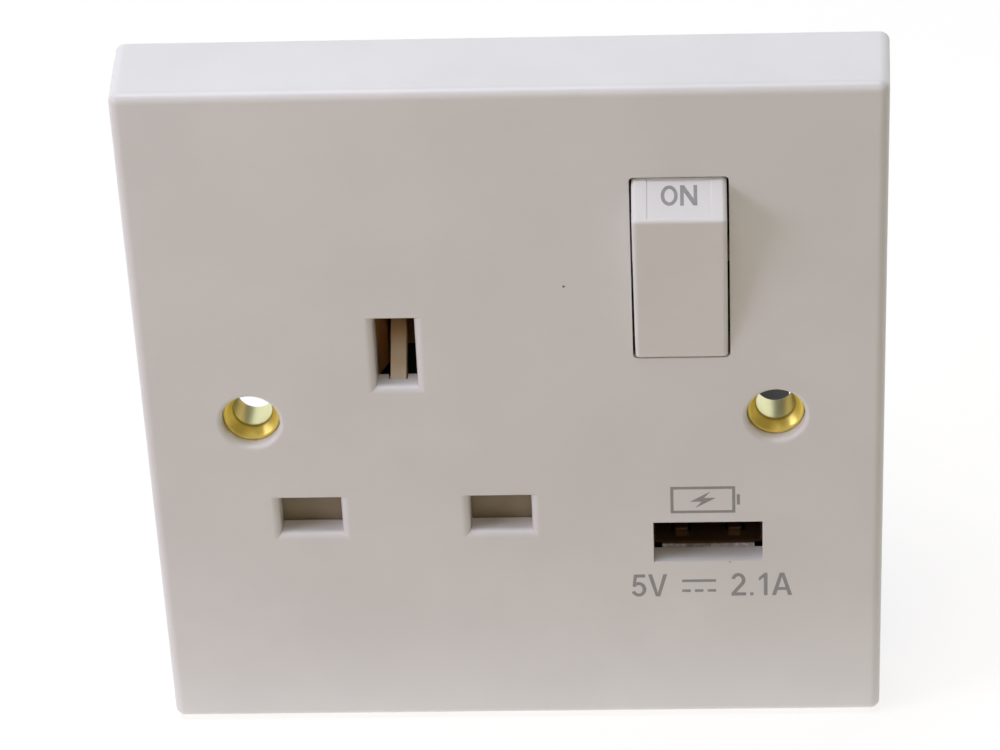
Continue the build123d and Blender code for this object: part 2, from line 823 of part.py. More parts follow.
neutral_spot = live_spots[0]
with BuildPart() as neutral_bus:
    with BuildSketch(depth_plane(bus_front)):
        with BuildLine():
            FilletPolyline(
                (neutral_spot[0], neutral_spot[1] + jaw_root),
                (neutral_spot[0], -terminal_z),
                (neutral_terminal_x + tenon / 2, -terminal_z),
                radius=bus_turn,
            )
        trace(line_width=bus_width)
    extrude(amount=-strip)
keep(neutral_bus, "neutral_bus")

# Earth side: jaws with tails to the strap and to the terminal, and the strap itself
pocket_inner = terminal_z - terminal_block[1] / 2 - pocket_inner_gap
tail_top = pocket_inner - pocket_wall
with BuildPart() as earth_contact:
    with BuildSketch(plan_plane(earth_z - earth_jaw_width / 2 - earth_jaw_drop)):
        with BuildLine():
            FilletPolyline(*jaw_path(socket_x, jaw_start, earth_base), radius=strip_bend)
        trace(line_width=strip)
    extrude(amount=earth_jaw_width + earth_jaw_drop)
    with BuildSketch(depth_plane(earth_base)):
        with Locations((socket_x, (tail_top - strap_width / 2) / 2)):
            Rectangle(2 * jaw_throat, tail_top + strap_width / 2)
    extrude(amount=-strip)
keep(earth_contact, "earth_contact")

ear_middle = boss_back + strip / 2
leg_x = notch_x + strap_gap + strip / 2
ear_end = fixing_x + strap_end
with BuildPart() as earth_strap:
    with BuildSketch(plan_plane(-strap_width / 2)):
        with BuildLine():
            cross = strap_front + strip / 2
            right_half = [(leg_x, cross), (leg_x, ear_middle), (ear_end, ear_middle)]
            left_half = [(-x, depth) for x, depth in reversed(right_half)]
            FilletPolyline(*left_half, *right_half, radius=strap_bend)
        trace(line_width=strip)
    extrude(amount=strap_width)
    ear_corners = earth_strap.edges().filter_by(Axis.Y)
    fillet(ear_corners.group_by(Axis.X)[0] + ear_corners.group_by(Axis.X)[-1], strap_width / 3)
    with BuildSketch(depth_plane(boss_back)):
        with Locations((-fixing_x, 0), (fixing_x, 0)):
            Circle(tube_radius + eyelet_seat_gap)
    extrude(amount=-strip, mode=Mode.SUBTRACT)
keep(earth_strap, "earth_strap")

# Terminals: drilled brass blocks with slotted clamp screws
wire_depth = block_front + wire_hole_depth
terminals = [
    ("line_terminal", line_terminal_x, 1),
    ("earth_terminal", earth_terminal_x, 1),
    ("neutral_terminal", neutral_terminal_x, -1),
]
for name, x, side in terminals:
    with BuildPart() as terminal:
        with BuildSketch(depth_plane(block_front)):
            with Locations((x, side * terminal_z)):
                Rectangle(terminal_block[0], terminal_block[1])
        extrude(amount=-terminal_block[2])
        chamfer(terminal.edges().filter_by(Axis.Y), block_chamfer)
        with BuildSketch(Plane.XY):
            with Locations((x, wire_depth - plate_depth)):
                Circle(wire_hole)
        extrude(amount=side * plate_size, mode=Mode.SUBTRACT)
        with BuildSketch(depth_plane(wire_depth)):
            with Locations((x, side * terminal_z)):
                Circle(screw_hole)
        extrude(amount=-terminal_block[2], mode=Mode.SUBTRACT)
        if name == "earth_terminal":
            with BuildSketch(Plane.XY.offset(tail_top)):
                with Locations((x, earth_base + strip / 2 - plate_depth)):
                    Rectangle(tenon, tenon / 2)
            extrude(amount=pocket_wall + pocket_inner_gap)
        else:
            with BuildSketch(depth_plane(bus_back)):
                with Locations((x, side * terminal_z)):
                    Rectangle(tenon, tenon)
            extrude(amount=bus_back - block_front)
    keep(terminal, name)

screw_seat = block_back + screw_backed_off
screw_tip = wire_depth + wire_hole + screw_backed_off
terminal_screw_section = [
    (0, screw_tip),
    (screw_shank, screw_tip),
    (screw_shank, screw_seat),
    (screw_head, screw_seat),
    (screw_head, screw_seat + screw_head_height),
    (0, screw_seat + screw_head_height),
]
screw_spots = [(x, side * terminal_z) for _, x, side in terminals]
terminal_screw_blanks = [turned(terminal_screw_section, front_point(*spot)) for spot in screw_spots]
with BuildPart() as terminal_screws:
    add(terminal_screw_blanks)
    with BuildSketch(depth_plane(screw_seat + screw_head_height)):
        with Locations(*screw_spots):
            Rectangle(2 * screw_head, screw_slot[0])
    extrude(amount=screw_slot[1], mode=Mode.SUBTRACT)
keep(terminal_screws, "terminal_screws")

# Shrouds: open boxes that hold the terminals in the housing, with windows for the tenons
pocket_half = terminal_block[0] / 2 + pocket_side_gap
shroud_half = pocket_half + pocket_wall
window = tenon + 2 * tenon_gap
with BuildPart() as back_bevels:
    for side in (-1, 1):
        with BuildSketch(section_plane(flange_left)):
            with BuildLine():
                Polyline(
                    (housing_back - housing_bevel - overcut, side * (edge_z + overcut)),
                    (housing_back + overcut, side * (edge_z + overcut)),
                    (housing_back + overcut, side * (edge_z - housing_bevel - overcut)),
                    close=True,
                )
            make_face()
        extrude(amount=flange_right - flange_left)
for name, x, side in terminals:
    with BuildPart() as shroud:
        with BuildSketch(depth_plane(bus_back)):
            with Locations((x, side * (tail_top + edge_z) / 2)):
                Rectangle(2 * shroud_half, edge_z - tail_top)
        extrude(amount=bus_back - housing_back)
        with BuildSketch(depth_plane(block_front)):
            with Locations((x, side * (pocket_inner + edge_z + overcut) / 2)):
                Rectangle(2 * pocket_half, edge_z + overcut - pocket_inner)
        extrude(amount=block_front - housing_back, mode=Mode.SUBTRACT)
        if name == "earth_terminal":
            with BuildSketch(Plane.XY.offset(tail_top)):
                with Locations((x, earth_base + strip / 2 - plate_depth)):
                    Rectangle(window, tenon / 2 + 2 * tenon_gap)
            extrude(amount=pocket_wall, mode=Mode.SUBTRACT)
        else:
            with BuildSketch(depth_plane(bus_back)):
                with Locations((x, side * terminal_z)):
                    Rectangle(window, window)
            extrude(amount=bus_back - block_front, mode=Mode.SUBTRACT)
        add(back_bevels.part, mode=Mode.SUBTRACT)
    keep(shroud, name.replace("terminal", "shroud"))

# Rear housing: an open tray with a notch at each fixing hole and a bay for each shroud
head_depth = housing_front + housing_screw_grip
switch_rest_bottom = bus_z - bus_width / 2
with BuildPart() as rear_housing:
    with BuildSketch(depth_plane(housing_front)):
        add(outline(flange_left, flange_right))
    extrude(amount=-flange_thickness)
    with BuildSketch(depth_plane(housing_front)):
        add(outline(housing_left, housing_right))
    extrude(amount=housing_front - housing_back)
    with BuildSketch(depth_plane(housing_front)):
        add(outline(housing_left, housing_right, housing_wall))
    extrude(amount=housing_front - floor_front, mode=Mode.SUBTRACT)
    # Columns for the housing screws, pedestals under the brass, and ledges for the board
    with BuildSketch(depth_plane(housing_front)):
        with Locations(*housing_screw_spots):
            Circle(column_radius)
    extrude(amount=housing_front - housing_back)
    with BuildSketch(depth_plane(bus_back)):
        with Locations(*live_spots):
            Rectangle(2 * pedestal_half, 2 * pedestal_half)
        with Locations((rocker_x, (switch_rest_bottom + tail_top) / 2)):
            Rectangle(2 * pedestal_half, tail_top - switch_rest_bottom)
    extrude(amount=bus_back - housing_back)
    with BuildSketch(depth_plane(strap_front + strip)):
        with Locations((socket_x, 0)):
            Rectangle(2 * pedestal_half, strap_width)
    extrude(amount=strap_front + strip - housing_back)
    with BuildSketch(depth_plane(board_back)):
        ledge_right = housing_right - housing_wall
        with Locations((board_left, (board_top + ledge_bottom) / 2)):
            Rectangle(ledge, board_top - ledge_bottom)
        with Locations(((board_right - ledge / 2 + ledge_right) / 2, (board_top + ledge_bottom) / 2)):
            Rectangle(ledge_right - board_right + ledge / 2, board_top - ledge_bottom)
        with Locations(((board_left + ledge_right) / 2, (board_bottom + ledge / 2 + ledge_bottom) / 2)):
            Rectangle(ledge_right - board_left, board_bottom + ledge / 2 - ledge_bottom)
    extrude(amount=board_back - housing_back)
    # Bays for the shrouds, open at the back and at the edge
    with BuildSketch(depth_plane(bus_back)):
        for _, x, side in terminals:
            with Locations((x, side * (tail_top + edge_z + overcut) / 2)):
                Rectangle(2 * shroud_half, edge_z + overcut - tail_top)
    extrude(amount=bus_back - housing_back, mode=Mode.SUBTRACT)
    # Slots that let the earth strap in from the front
    with BuildSketch(depth_plane(housing_front)):
        strap_slot = strap_width + 2 * strap_gap
        with Locations((-notch_x, 0), (notch_x, 0)):
            Rectangle(2 * (housing_wall + strap_gap), strap_slot)
    extrude(amount=housing_front - strap_front - strip - strap_gap, mode=Mode.SUBTRACT)
    # Stepped holes for the housing screws
    with BuildSketch(depth_plane(housing_front)):
        with Locations(*housing_screw_spots):
            Circle(housing_screw_shank + housing_screw_gap)
    extrude(amount=housing_front - housing_back, mode=Mode.SUBTRACT)
    with BuildSketch(depth_plane(head_depth)):
        with Locations(*housing_screw_spots):
            Circle(column_counterbore)
    extrude(amount=head_depth - housing_back, mode=Mode.SUBTRACT)
    add(back_bevels.part, mode=Mode.SUBTRACT)
keep(rear_housing, "rear_housing")

housing_screw_section = [
    (0, housing_front - housing_screw_bite),
    (housing_screw_shank, housing_front - housing_screw_bite),
    (housing_screw_shank, head_depth),
    (housing_screw_head, head_depth),
    (housing_screw_head, head_depth + housing_screw_head_height),
    (0, head_depth + housing_screw_head_height),
]
housing_screw_blanks = [
    turned(housing_screw_section, front_point(*spot)) for spot in housing_screw_spots
]
with BuildPart() as housing_screws:
    add(housing_screw_blanks)
    with BuildSketch(depth_plane(head_depth + housing_screw_head_height)):
        with Locations(*housing_screw_spots):
            Rectangle(2 * housing_screw_shank, screw_slot[0])
            Rectangle(screw_slot[0], 2 * housing_screw_shank)
    extrude(amount=screw_slot[1], mode=Mode.SUBTRACT)
keep(housing_screws, "housing_screws")

# USB port
tongue_front = shell_front + usb_tongue_sunk
block_start = shell_back - usb_shell_wall - usb_block_depth
lip_back = shell_front + usb_lip_run
with BuildPart() as usb_shell:
    with BuildSketch(depth_plane(lip_back)):
        with Locations((usb_x, usb_z)):
            RectangleRounded(
                usb_shell_inner[0] + 2 * usb_shell_wall,
                usb_shell_inner[1] + 2 * usb_shell_wall,
                2 * usb_shell_wall,
            )
    extrude(amount=lip_back - shell_back)
    with BuildSketch(depth_plane(lip_back)):
        with Locations((usb_x, usb_z)):
            RectangleRounded(*usb_shell_inner, usb_shell_wall)
    extrude(amount=lip_back + usb_shell_wall - shell_back, mode=Mode.SUBTRACT)
    # Flared lips round the mouth, with gaps at its corners
    for side in (-1, 1):
        with BuildSketch(section_plane(usb_x - usb_lip_width / 2)):
            edge = usb_z + side * usb_shell_inner[1] / 2
            with BuildLine():
                Polyline(
                    (lip_back, edge),
                    (lip_back, edge + side * usb_shell_wall),
                    (shell_front, edge + side * (usb_shell_wall + usb_lip_rise)),
                    (shell_front, edge + side * usb_lip_rise),
                    close=True,
                )
            make_face()
        extrude(amount=usb_lip_width)
        with BuildSketch(plan_plane(usb_z - usb_side_lip / 2)):
            edge = usb_x + side * usb_shell_inner[0] / 2
            with BuildLine():
                Polyline(
                    (edge, lip_back),
                    (edge + side * usb_shell_wall, lip_back),
                    (edge + side * (usb_shell_wall + usb_lip_rise), shell_front),
                    (edge + side * usb_lip_rise, shell_front),
                    close=True,
                )
            make_face()
        extrude(amount=usb_side_lip)
    # Spring leaves, cut free on three sides in the top and bottom walls
    with BuildSketch(Plane.XY.offset(usb_z)):
        leaf_middle = shell_front + usb_window_setback + usb_window[1] / 2 - plate_depth
        with Locations((usb_x, leaf_middle)):
            with GridLocations(2 * usb_window_offset, 0, 2, 1):
                Rectangle(*usb_window)
                with Locations((0, usb_leaf_gap)):
                    Rectangle(usb_window[0] - 2 * usb_leaf_gap, usb_window[1], mode=Mode.SUBTRACT)
    extrude(amount=usb_shell_inner[1], both=True, mode=Mode.SUBTRACT)
keep(usb_shell, "usb_shell")

with BuildPart() as usb_tongue:
    with BuildSketch(depth_plane(block_start)):
        with Locations((usb_x, usb_z)):
            Rectangle(usb_shell_inner[0] - 2 * usb_block_gap, usb_shell_inner[1] - 2 * usb_block_gap)
    extrude(amount=-usb_block_depth)
    with BuildSketch(depth_plane(tongue_front)):
        with Locations((usb_x, usb_z + usb_tongue_lift)):
            Rectangle(*usb_tongue_size)
    extrude(amount=tongue_front - block_start)
keep(usb_tongue, "usb_tongue")

contact_face = usb_z + usb_tongue_lift - usb_tongue_size[1] / 2
with BuildPart() as usb_contacts:
    with BuildSketch(Plane.XY.offset(contact_face)):
        contact_start = tongue_front + usb_tongue_sunk
        for offset_x in usb_contact_spots:
            with Locations((usb_x + offset_x, contact_start + usb_contact[2] / 2 - plate_depth)):
                Rectangle(usb_contact[0], usb_contact[2])
    extrude(amount=-usb_contact[1])
keep(usb_contacts, "usb_contacts")

# Charger board and what stands on its back
with BuildPart() as usb_board:
    with BuildSketch(depth_plane(shell_back)):
        with Locations(((board_left + board_right) / 2, (board_top + board_bottom) / 2)):
            Rectangle(board_right - board_left, board_top - board_bottom)
    extrude(amount=-board_thickness)
keep(usb_board, "usb_board")


def board_spot(x, share):
    """A place on the board: x, and a share of the board's height down from its top."""
    return (x, board_top - share * (board_top - board_bottom))


coil_depth = core_thickness + 2 * (coil_build + coil_gap)
core_front = board_back + coil_build + coil_gap
transformer_spot = board_spot(*transformer_place)
with BuildPart() as transformer_core:
    with BuildSketch(depth_plane(core_front)):
        with Locations(transformer_spot):
            Rectangle(
                core_leg + 2 * core_window[0] + 2 * core_yoke[0], core_window[1] + 2 * core_yoke[1]
            )
            with GridLocations(core_leg + core_window[0], 0, 2, 1):
                Rectangle(*core_window, mode=Mode.SUBTRACT)
    extrude(amount=-core_thickness)
keep(transformer_core, "transformer_core")

with BuildPart() as transformer_coil:
    coil_low = transformer_spot[1] - core_window[1] / 2
    with BuildSketch(Plane.XY.offset(coil_low)):
        with Locations((transformer_spot[0], board_back + coil_depth / 2 - plate_depth)):
            RectangleRounded(core_leg + 2 * (coil_gap + coil_build), coil_depth, coil_build / 2)
            Rectangle(core_leg + 2 * coil_gap, core_thickness + 2 * coil_gap, mode=Mode.SUBTRACT)
    extrude(amount=core_window[1])
keep(transformer_coil, "transformer_coil")


def board_cans(places, size):
    """Round capacitor cans standing on the back of the board."""
    with BuildPart() as cans:
        with BuildSketch(depth_plane(board_back)):
            with Locations(*[board_spot(*place) for place in places]):
                Circle(size[0])
        extrude(amount=-size[1])
        fillet(cans.faces().filter_by(Axis.Y).group_by(Axis.Y)[-1].edges(), size[0] / 6)
    return cans


keep(board_cans([input_capacitor_place], input_capacitor_size), "input_capacitor")
keep(board_cans(output_capacitor_places, output_capacitor_size), "output_capacitors")

with BuildPart() as board_chips:
    with BuildSketch(depth_plane(board_back)):
        with Locations(board_spot(*chip_place)):
            Rectangle(chip_size[0], chip_size[1])
    extrude(amount=-chip_size[2])
keep(board_chips, "board_chips")

# Leads that feed the charger from the fronts of the line bus and the neutral bus
lead_depth = shell_back - lead_setback
neutral_lead_x = neutral_spot[0] + bus_width / 4
lead_starts = [("line_lead", bus_x, line_lead_z), ("neutral_lead", neutral_lead_x, neutral_lead_z)]
for name, x, z in lead_starts:
    with BuildPart() as lead:
        with BuildLine() as route:
            FilletPolyline(
                (x, bus_front - plate_depth, z),
                (x, lead_depth - plate_depth, z),
                (lead_end_x, lead_depth - plate_depth, z),
                (lead_end_x, shell_back - plate_depth, z),
                radius=lead_bend,
            )
        with BuildSketch(Plane(origin=route.line @ 0, z_dir=route.line % 0)):
            Circle(lead_radius)
        sweep()
    keep(lead, name)
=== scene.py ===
"""Finishes, print, springs and a studio stage for a switched wall socket with a charging port."""

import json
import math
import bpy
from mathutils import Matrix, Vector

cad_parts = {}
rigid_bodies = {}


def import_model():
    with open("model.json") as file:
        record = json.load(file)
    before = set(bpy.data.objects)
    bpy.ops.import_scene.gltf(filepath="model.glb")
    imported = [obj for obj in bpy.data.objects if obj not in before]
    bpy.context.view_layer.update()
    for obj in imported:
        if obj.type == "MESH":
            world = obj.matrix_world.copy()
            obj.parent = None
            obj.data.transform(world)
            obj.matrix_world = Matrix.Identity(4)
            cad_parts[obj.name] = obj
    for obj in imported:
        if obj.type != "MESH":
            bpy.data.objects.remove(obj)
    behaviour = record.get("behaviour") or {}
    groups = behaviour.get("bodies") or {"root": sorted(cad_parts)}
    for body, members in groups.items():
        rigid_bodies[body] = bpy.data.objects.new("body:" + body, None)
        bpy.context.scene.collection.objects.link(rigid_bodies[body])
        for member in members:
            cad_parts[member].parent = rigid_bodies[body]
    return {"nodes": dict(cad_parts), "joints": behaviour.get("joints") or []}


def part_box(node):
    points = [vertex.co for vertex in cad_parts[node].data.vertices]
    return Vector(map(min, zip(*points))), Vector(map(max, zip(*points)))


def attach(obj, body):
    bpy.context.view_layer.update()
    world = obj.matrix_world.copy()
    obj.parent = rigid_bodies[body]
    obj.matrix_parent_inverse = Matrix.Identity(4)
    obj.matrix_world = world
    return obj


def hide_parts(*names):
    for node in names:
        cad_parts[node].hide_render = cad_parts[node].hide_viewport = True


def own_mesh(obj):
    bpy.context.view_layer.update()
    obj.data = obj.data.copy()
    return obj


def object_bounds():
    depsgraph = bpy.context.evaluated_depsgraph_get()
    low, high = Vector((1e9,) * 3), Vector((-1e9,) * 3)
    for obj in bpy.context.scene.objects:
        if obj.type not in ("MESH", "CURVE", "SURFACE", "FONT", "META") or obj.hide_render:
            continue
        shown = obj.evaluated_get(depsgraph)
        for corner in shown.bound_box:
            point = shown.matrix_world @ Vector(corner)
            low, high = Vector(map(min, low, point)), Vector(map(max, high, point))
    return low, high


bl_info = {
    "name": "Wall socket looks",
    "version": (1, 0, 0),
    "blender": (4, 5, 0),
    "location": "3D View > Sidebar > Socket",
    "description": "Dresses the packed wall socket and sets it on a plain studio floor",
    "category": "3D View",
}

import bpy
from bpy.props import FloatProperty, FloatVectorProperty, PointerProperty, StringProperty
from mathutils import Matrix, Vector

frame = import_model()
cad_low, cad_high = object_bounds()
MM = 0.001
BASE = "base"
ROCKER = "rocker"
RIGHT = Vector((1.0, 0.0, 0.0))
FORWARD = Vector((0.0, -1.0, 0.0))

# Boxes of the print on the plate's front, in millimetres: left, bottom, right and top
VOLTS_BOX = (13.18, -25.16, 17.33, -21.98)
AMPS_BOX = (24.85, -25.17, 32.0, -21.93)
CURRENT_BOX = (19.06, -24.57, 23.05, -22.78)
CHARGE_BOX = (17.88, -13.3, 25.4, -9.6)

# Box of the switch word, in millimetres about a point on the rocker's label
SWITCH_BOX = (-2.0, -0.62, 2.01, 1.73)

# That point's drop from the rocker's top, and how far in front of the rocker the look for it starts
LABEL_DROP = 1.75 * MM
LABEL_LOOK = 5.0 * MM

# Specks in the plate's front: places in millimetres and how dark each is, then the radii of rim and core
SPECKS = ((6.42, 17.64, 0.95), (24.72, -20.33, 0.3))
SPECK_RIM = 0.2 * MM
SPECK_CORE = 0.08 * MM

# Plastics: how strong their grain is, how rough they are and how much clear gloss lies over them
WHITE_FINISH = {"grain": 0.3, "roughness": 0.4, "coat": 0.12}
IVORY_FINISH = {"grain": 0.25, "roughness": 0.45}
LEAD_FINISH = {"grain": 0.1, "roughness": 0.35}

# Noise on surfaces, in cells a metre
CLOUDS = 70.0
GRAIN = 5200.0
STAINS = 260.0
LIP_GLINTS = 1500.0
TRACK_DRIFT = 120.0
TRACK_PATCHES = 90.0
TAPE_DRIFT = 300.0
TAPE_GRAIN = 900.0
INK_COVER = 2600.0
FLOOR_CLOUDS = 9.0

# Relief of surfaces: depth of grain and marks, rounding of edges, and how far wear goes past it
RELIEF_DEPTH = 0.02 * MM
MOULDED_EDGE = 0.12 * MM
METAL_EDGE = 0.06 * MM
WEAR_REACH = 1.6

# Marks on metal, in noise cells a metre along x, y and z
ROLLED_MARKS = (2600.0, 260.0, 260.0)
TURNED_MARKS = (900.0, 900.0, 2600.0)
SPUN_MARKS = (500.0, 3600.0, 500.0)
DRAWN_MARKS = (300.0, 2600.0, 300.0)
PLATED_MARKS = (1500.0, 1500.0, 1500.0)
FINE_MARKS = (900.0, 900.0, 900.0)

# Heights on the shutter, where the painted shade on the live shutters gives way to full ivory, and where the
# tongue's top turns to a warm painted shade
SHADE_HEIGHTS = (-6.0 * MM, 4.0 * MM)
TONGUE_SHADE_HEIGHTS = (6.4 * MM, 8.8 * MM)

# Eyelets: depths below the mouth where the flare ends, the tube starts and a ring of painted shade lies at
# the fold between
FLARE_END = 1.5 * MM
TUBE_START = 1.9 * MM
FOLD_DEPTH = 1.55 * MM
FOLD_CORE = 0.1 * MM
FOLD_RIM = 0.4 * MM

# Eyelets: how far the flare's shading leans forward, and how rough the tube is
FLARE_LEAN = 0.5
TUBE_ROUGHNESS = 0.42

# The port's shell: depths inside its mouth and distances from its middle, of lips and spring leaves, for its
# painted highlights and shade
LIP_DEPTHS = (0.4 * MM, 0.6 * MM)
LIP_HIGHLIGHT_ENDS = (2.0 * MM, 3.4 * MM)
LEAF_ASIDE = 3.1 * MM
LEAF_HALF_WIDTH = (0.5 * MM, 0.9 * MM)
LEAF_DEPTH = 2.8 * MM
LEAF_HALF_LENGTH = (0.6 * MM, 1.2 * MM)

# The charger's board and coil: pitch of tracks and tape, how far they wander, their height and rounding
TRACK_PITCH = 2.4 * MM
TRACK_WANDER = 0.9 * MM
TRACK_HEIGHT = 0.035 * MM
BOARD_EDGE = 0.05 * MM
TAPE_PITCH = 2.1 * MM
TAPE_WANDER = 0.2 * MM
TAPE_HEIGHT = 0.06 * MM
TAPE_EDGE = 0.1 * MM

# Springs: radius of the wire, number of turns, steps in each, and how much closer the end turns lie
SPRING_WIRE = 0.19 * MM
SPRING_TURNS = 7
TURN_STEPS = 28
END_CLOSING = 0.55

# Softboxes, in metres: where each hangs and how wide it is
SOFTBOXES = {
    "top": ((-0.1, -0.08, 0.85), 0.5),
    "side": ((-0.5, -0.24, 0.2), 0.22),
    "fill": ((0.05, -0.6, 0.42), 0.25),
}

# Floor and air: half the floor's width, the card's drop, and where card and air brighten to the back
FLOOR_HALF = 4.0
CARD_DROP = 0.1 * MM
CARD_BRIGHTENS = (-0.035, -0.019)
AIR_BRIGHTENS = (0.3, 0.7)

# Camera: its place in metres, the ways it looks and holds its right side, and its lens shift and clipping
CAMERA_PLACE = (0.0222, -0.3577, 0.2249)
CAMERA_AHEAD = (-0.0349, 0.8445, -0.5345)
CAMERA_RIGHT = (0.9993, 0.0222, -0.0301)
LENS_SHIFT = (-0.0799, 0.0009)
CLIPPING = (0.01, 20.0)


class Wire:
    """A node socket that takes Python arithmetic, and starts further nodes in the same tree."""

    # The Mix node's colour sockets, by number because its other kinds share their names
    MIX_FIRST = 6
    MIX_SECOND = 7
    MIX_RESULT = 2
    # Where a rounded normal leans away from the true one by these cosines, a face turns into an edge
    EDGE_COSINES = (0.995, 0.8)
    EDGE_SAMPLES = 6

    def __init__(self, tree, socket=None):
        self.tree = tree
        self.socket = socket

    def node(self, kind, settings=None, inputs=None, out=0):
        """Add a node, set it up, feed its sockets, and return the wire from one of its outputs."""
        made = self.tree.nodes.new("ShaderNode" + kind)
        for key, value in (settings or {}).items():
            setattr(made, key, value)
        for key, value in (inputs or {}).items():
            if isinstance(value, Wire):
                self.tree.links.new(value.socket, made.inputs[key])
            else:
                made.inputs[key].default_value = value
        return Wire(self.tree, made.outputs[out])

    def also(self, out):
        """Another output of the same node."""
        return Wire(self.tree, self.socket.node.outputs[out])

    def maths(self, operation, *values):
        """A Math node on these values."""
        return self.node("Math", {"operation": operation}, dict(enumerate(values)))

    def vectors(self, operation, *values, out="Vector"):
        """A Vector Math node on these values."""
        return self.node("VectorMath", {"operation": operation}, dict(enumerate(values)), out)

    def __add__(self, other):
        return self.maths("ADD", self, other)

    def __radd__(self, other):
        return self.maths("ADD", other, self)

    def __sub__(self, other):
        return self.maths("SUBTRACT", self, other)

    def __rsub__(self, other):
        return self.maths("SUBTRACT", other, self)

    def __mul__(self, other):
        return self.maths("MULTIPLY", self, other)

    def __rmul__(self, other):
        return self.maths("MULTIPLY", other, self)

    def __truediv__(self, other):
        return self.maths("DIVIDE", self, other)

    def __rtruediv__(self, other):
        return self.maths("DIVIDE", other, self)

    def __gt__(self, other):
        return self.maths("GREATER_THAN", self, other)

    def __lt__(self, other):
        return self.maths("LESS_THAN", self, other)

    def __abs__(self):
        return self.maths("ABSOLUTE", self)

    def fraction(self):
        """What is left of this value past a whole number."""
        return self.maths("FRACT", self)

    def at_least(self, other):
        """The larger of two values."""
        return self.maths("MAXIMUM", self, other)

    def fade(self, start, end, low=0.0, high=1.0):
        """The value eased from low at start to high at end."""
        eased = {"interpolation_type": "SMOOTHSTEP"}
        ends = {"Value": self, "From Min": start, "From Max": end, "To Min": low, "To Max": high}
        return self.node("MapRange", eased, ends)

    def near(self, middle, core, rim):
        """1 within the core's distance of a value, eased to 0 at the rim's."""
        return abs(self - middle).fade(rim, core)

    def noise(self, scale, detail=2.0, roughness=0.5):
        """Cloudy noise at this place, from 0 to 1; scale is in cells a metre."""
        shape = {"Vector": self, "Scale": scale, "Detail": detail, "Roughness": roughness}
        return self.node("TexNoise", inputs=shape, out="Fac")

    def stretched(self, along):
        """This place, with each axis multiplied, for marks that run one way."""
        return self.vectors("MULTIPLY", self, along)

    def distance(self, spot):
        """How far this place is from a spot."""
        return self.vectors("DISTANCE", self, spot, out="Value")

    def axes(self):
        """The three parts of this place."""
        x = self.node("SeparateXYZ", inputs={0: self}, out="X")
        return x, x.also("Y"), x.also("Z")

    def mixed(self, first, second):
        """First colour where this is 0, second where it is 1."""
        feed = {0: self, self.MIX_FIRST: first, self.MIX_SECOND: second}
        return self.node("Mix", {"data_type": "RGBA"}, feed, self.MIX_RESULT)

    def edge_normal(self, radius):
        """The surface normal, rounded over at edges."""
        return self.node("Bevel", {"samples": self.EDGE_SAMPLES}, {"Radius": radius}, "Normal")

    def edges(self, radius):
        """1 near an edge and 0 on flat faces."""
        true = self.node("NewGeometry", out="Normal")
        facing = self.vectors("DOT_PRODUCT", self.edge_normal(radius), true, out="Value")
        return facing.fade(*self.EDGE_COSINES)

    def bumped(self, strength, depth, normal):
        """A normal bumped by this height."""
        feed = {"Strength": strength, "Distance": depth, "Height": self, "Normal": normal}
        return self.node("Bump", inputs=feed, out="Normal")

    def leaned(self, share, way):
        """This normal, leant over by a share of another way."""
        both = self.vectors("MULTIPLY_ADD", share, way, self)
        return self.vectors("NORMALIZE", both)


class Finish:
    """A material under way: its shader's sockets are set by name, to a constant or to a wire."""

    def __init__(self, name, **constants):
        self.material = bpy.data.materials.new(name)
        self.material.use_nodes = True
        self.tree = self.material.node_tree
        self.shader = self.tree.nodes["Principled BSDF"]
        self.place = Wire(self.tree).node("TexCoord", out="Object")
        self.set(**constants)

    def fed(self, name):
        """The wire that feeds a socket now."""
        return Wire(self.tree, self.shader.inputs[name].links[0].from_socket)

    def set(self, **sockets):
        """Set sockets; a name's underscores stand for spaces."""
        for key, value in sockets.items():
            socket = self.shader.inputs[key.replace("_", " ")]
            if isinstance(value, Wire):
                self.tree.links.new(value.socket, socket)
            else:
                socket.default_value = value
        return self


def shade(colour, factor):
    """A colour made lighter or darker, fully opaque."""
    return (*(min(1.0, part * factor) for part in colour[:3]), 1.0)


def paint(finish, *nodes):
    """Give CAD nodes a finish."""
    for name in nodes:
        for slot in frame["nodes"][name].material_slots:
            slot.material = finish.material


def new_piece(name, mesh, body, finish):
    """Put a finished mesh in the scene as a piece that rides on a body."""
    piece = bpy.data.objects.new(name, mesh)
    bpy.context.scene.collection.objects.link(piece)
    mesh.materials.clear()
    mesh.materials.append(finish.material)
    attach(piece, body)
    return piece


def moulded(name, colour, grain, roughness, coat=0.0):
    """Moulded plastic: faint cloudiness, a spark-eroded grain and softened, paler edges."""
    finish = Finish(name, Coat_Weight=coat, Coat_Roughness=0.25)
    place = finish.place
    cloud = place.noise(CLOUDS, detail=4.0)
    fine = place.noise(GRAIN, detail=3.0, roughness=0.6)
    worn = place.edges(MOULDED_EDGE * WEAR_REACH)
    body = cloud.fade(0.3, 0.7).mixed(shade(colour, 0.975), shade(colour, 1.02))
    finish.set(Base_Color=(worn * 0.35).mixed(body, shade(colour, 1.08)))
    finish.set(Roughness=roughness - 0.05 + (cloud + fine - worn) * 0.06)
    return finish.set(Normal=fine.bumped(grain, RELIEF_DEPTH, place.edge_normal(MOULDED_EDGE)))


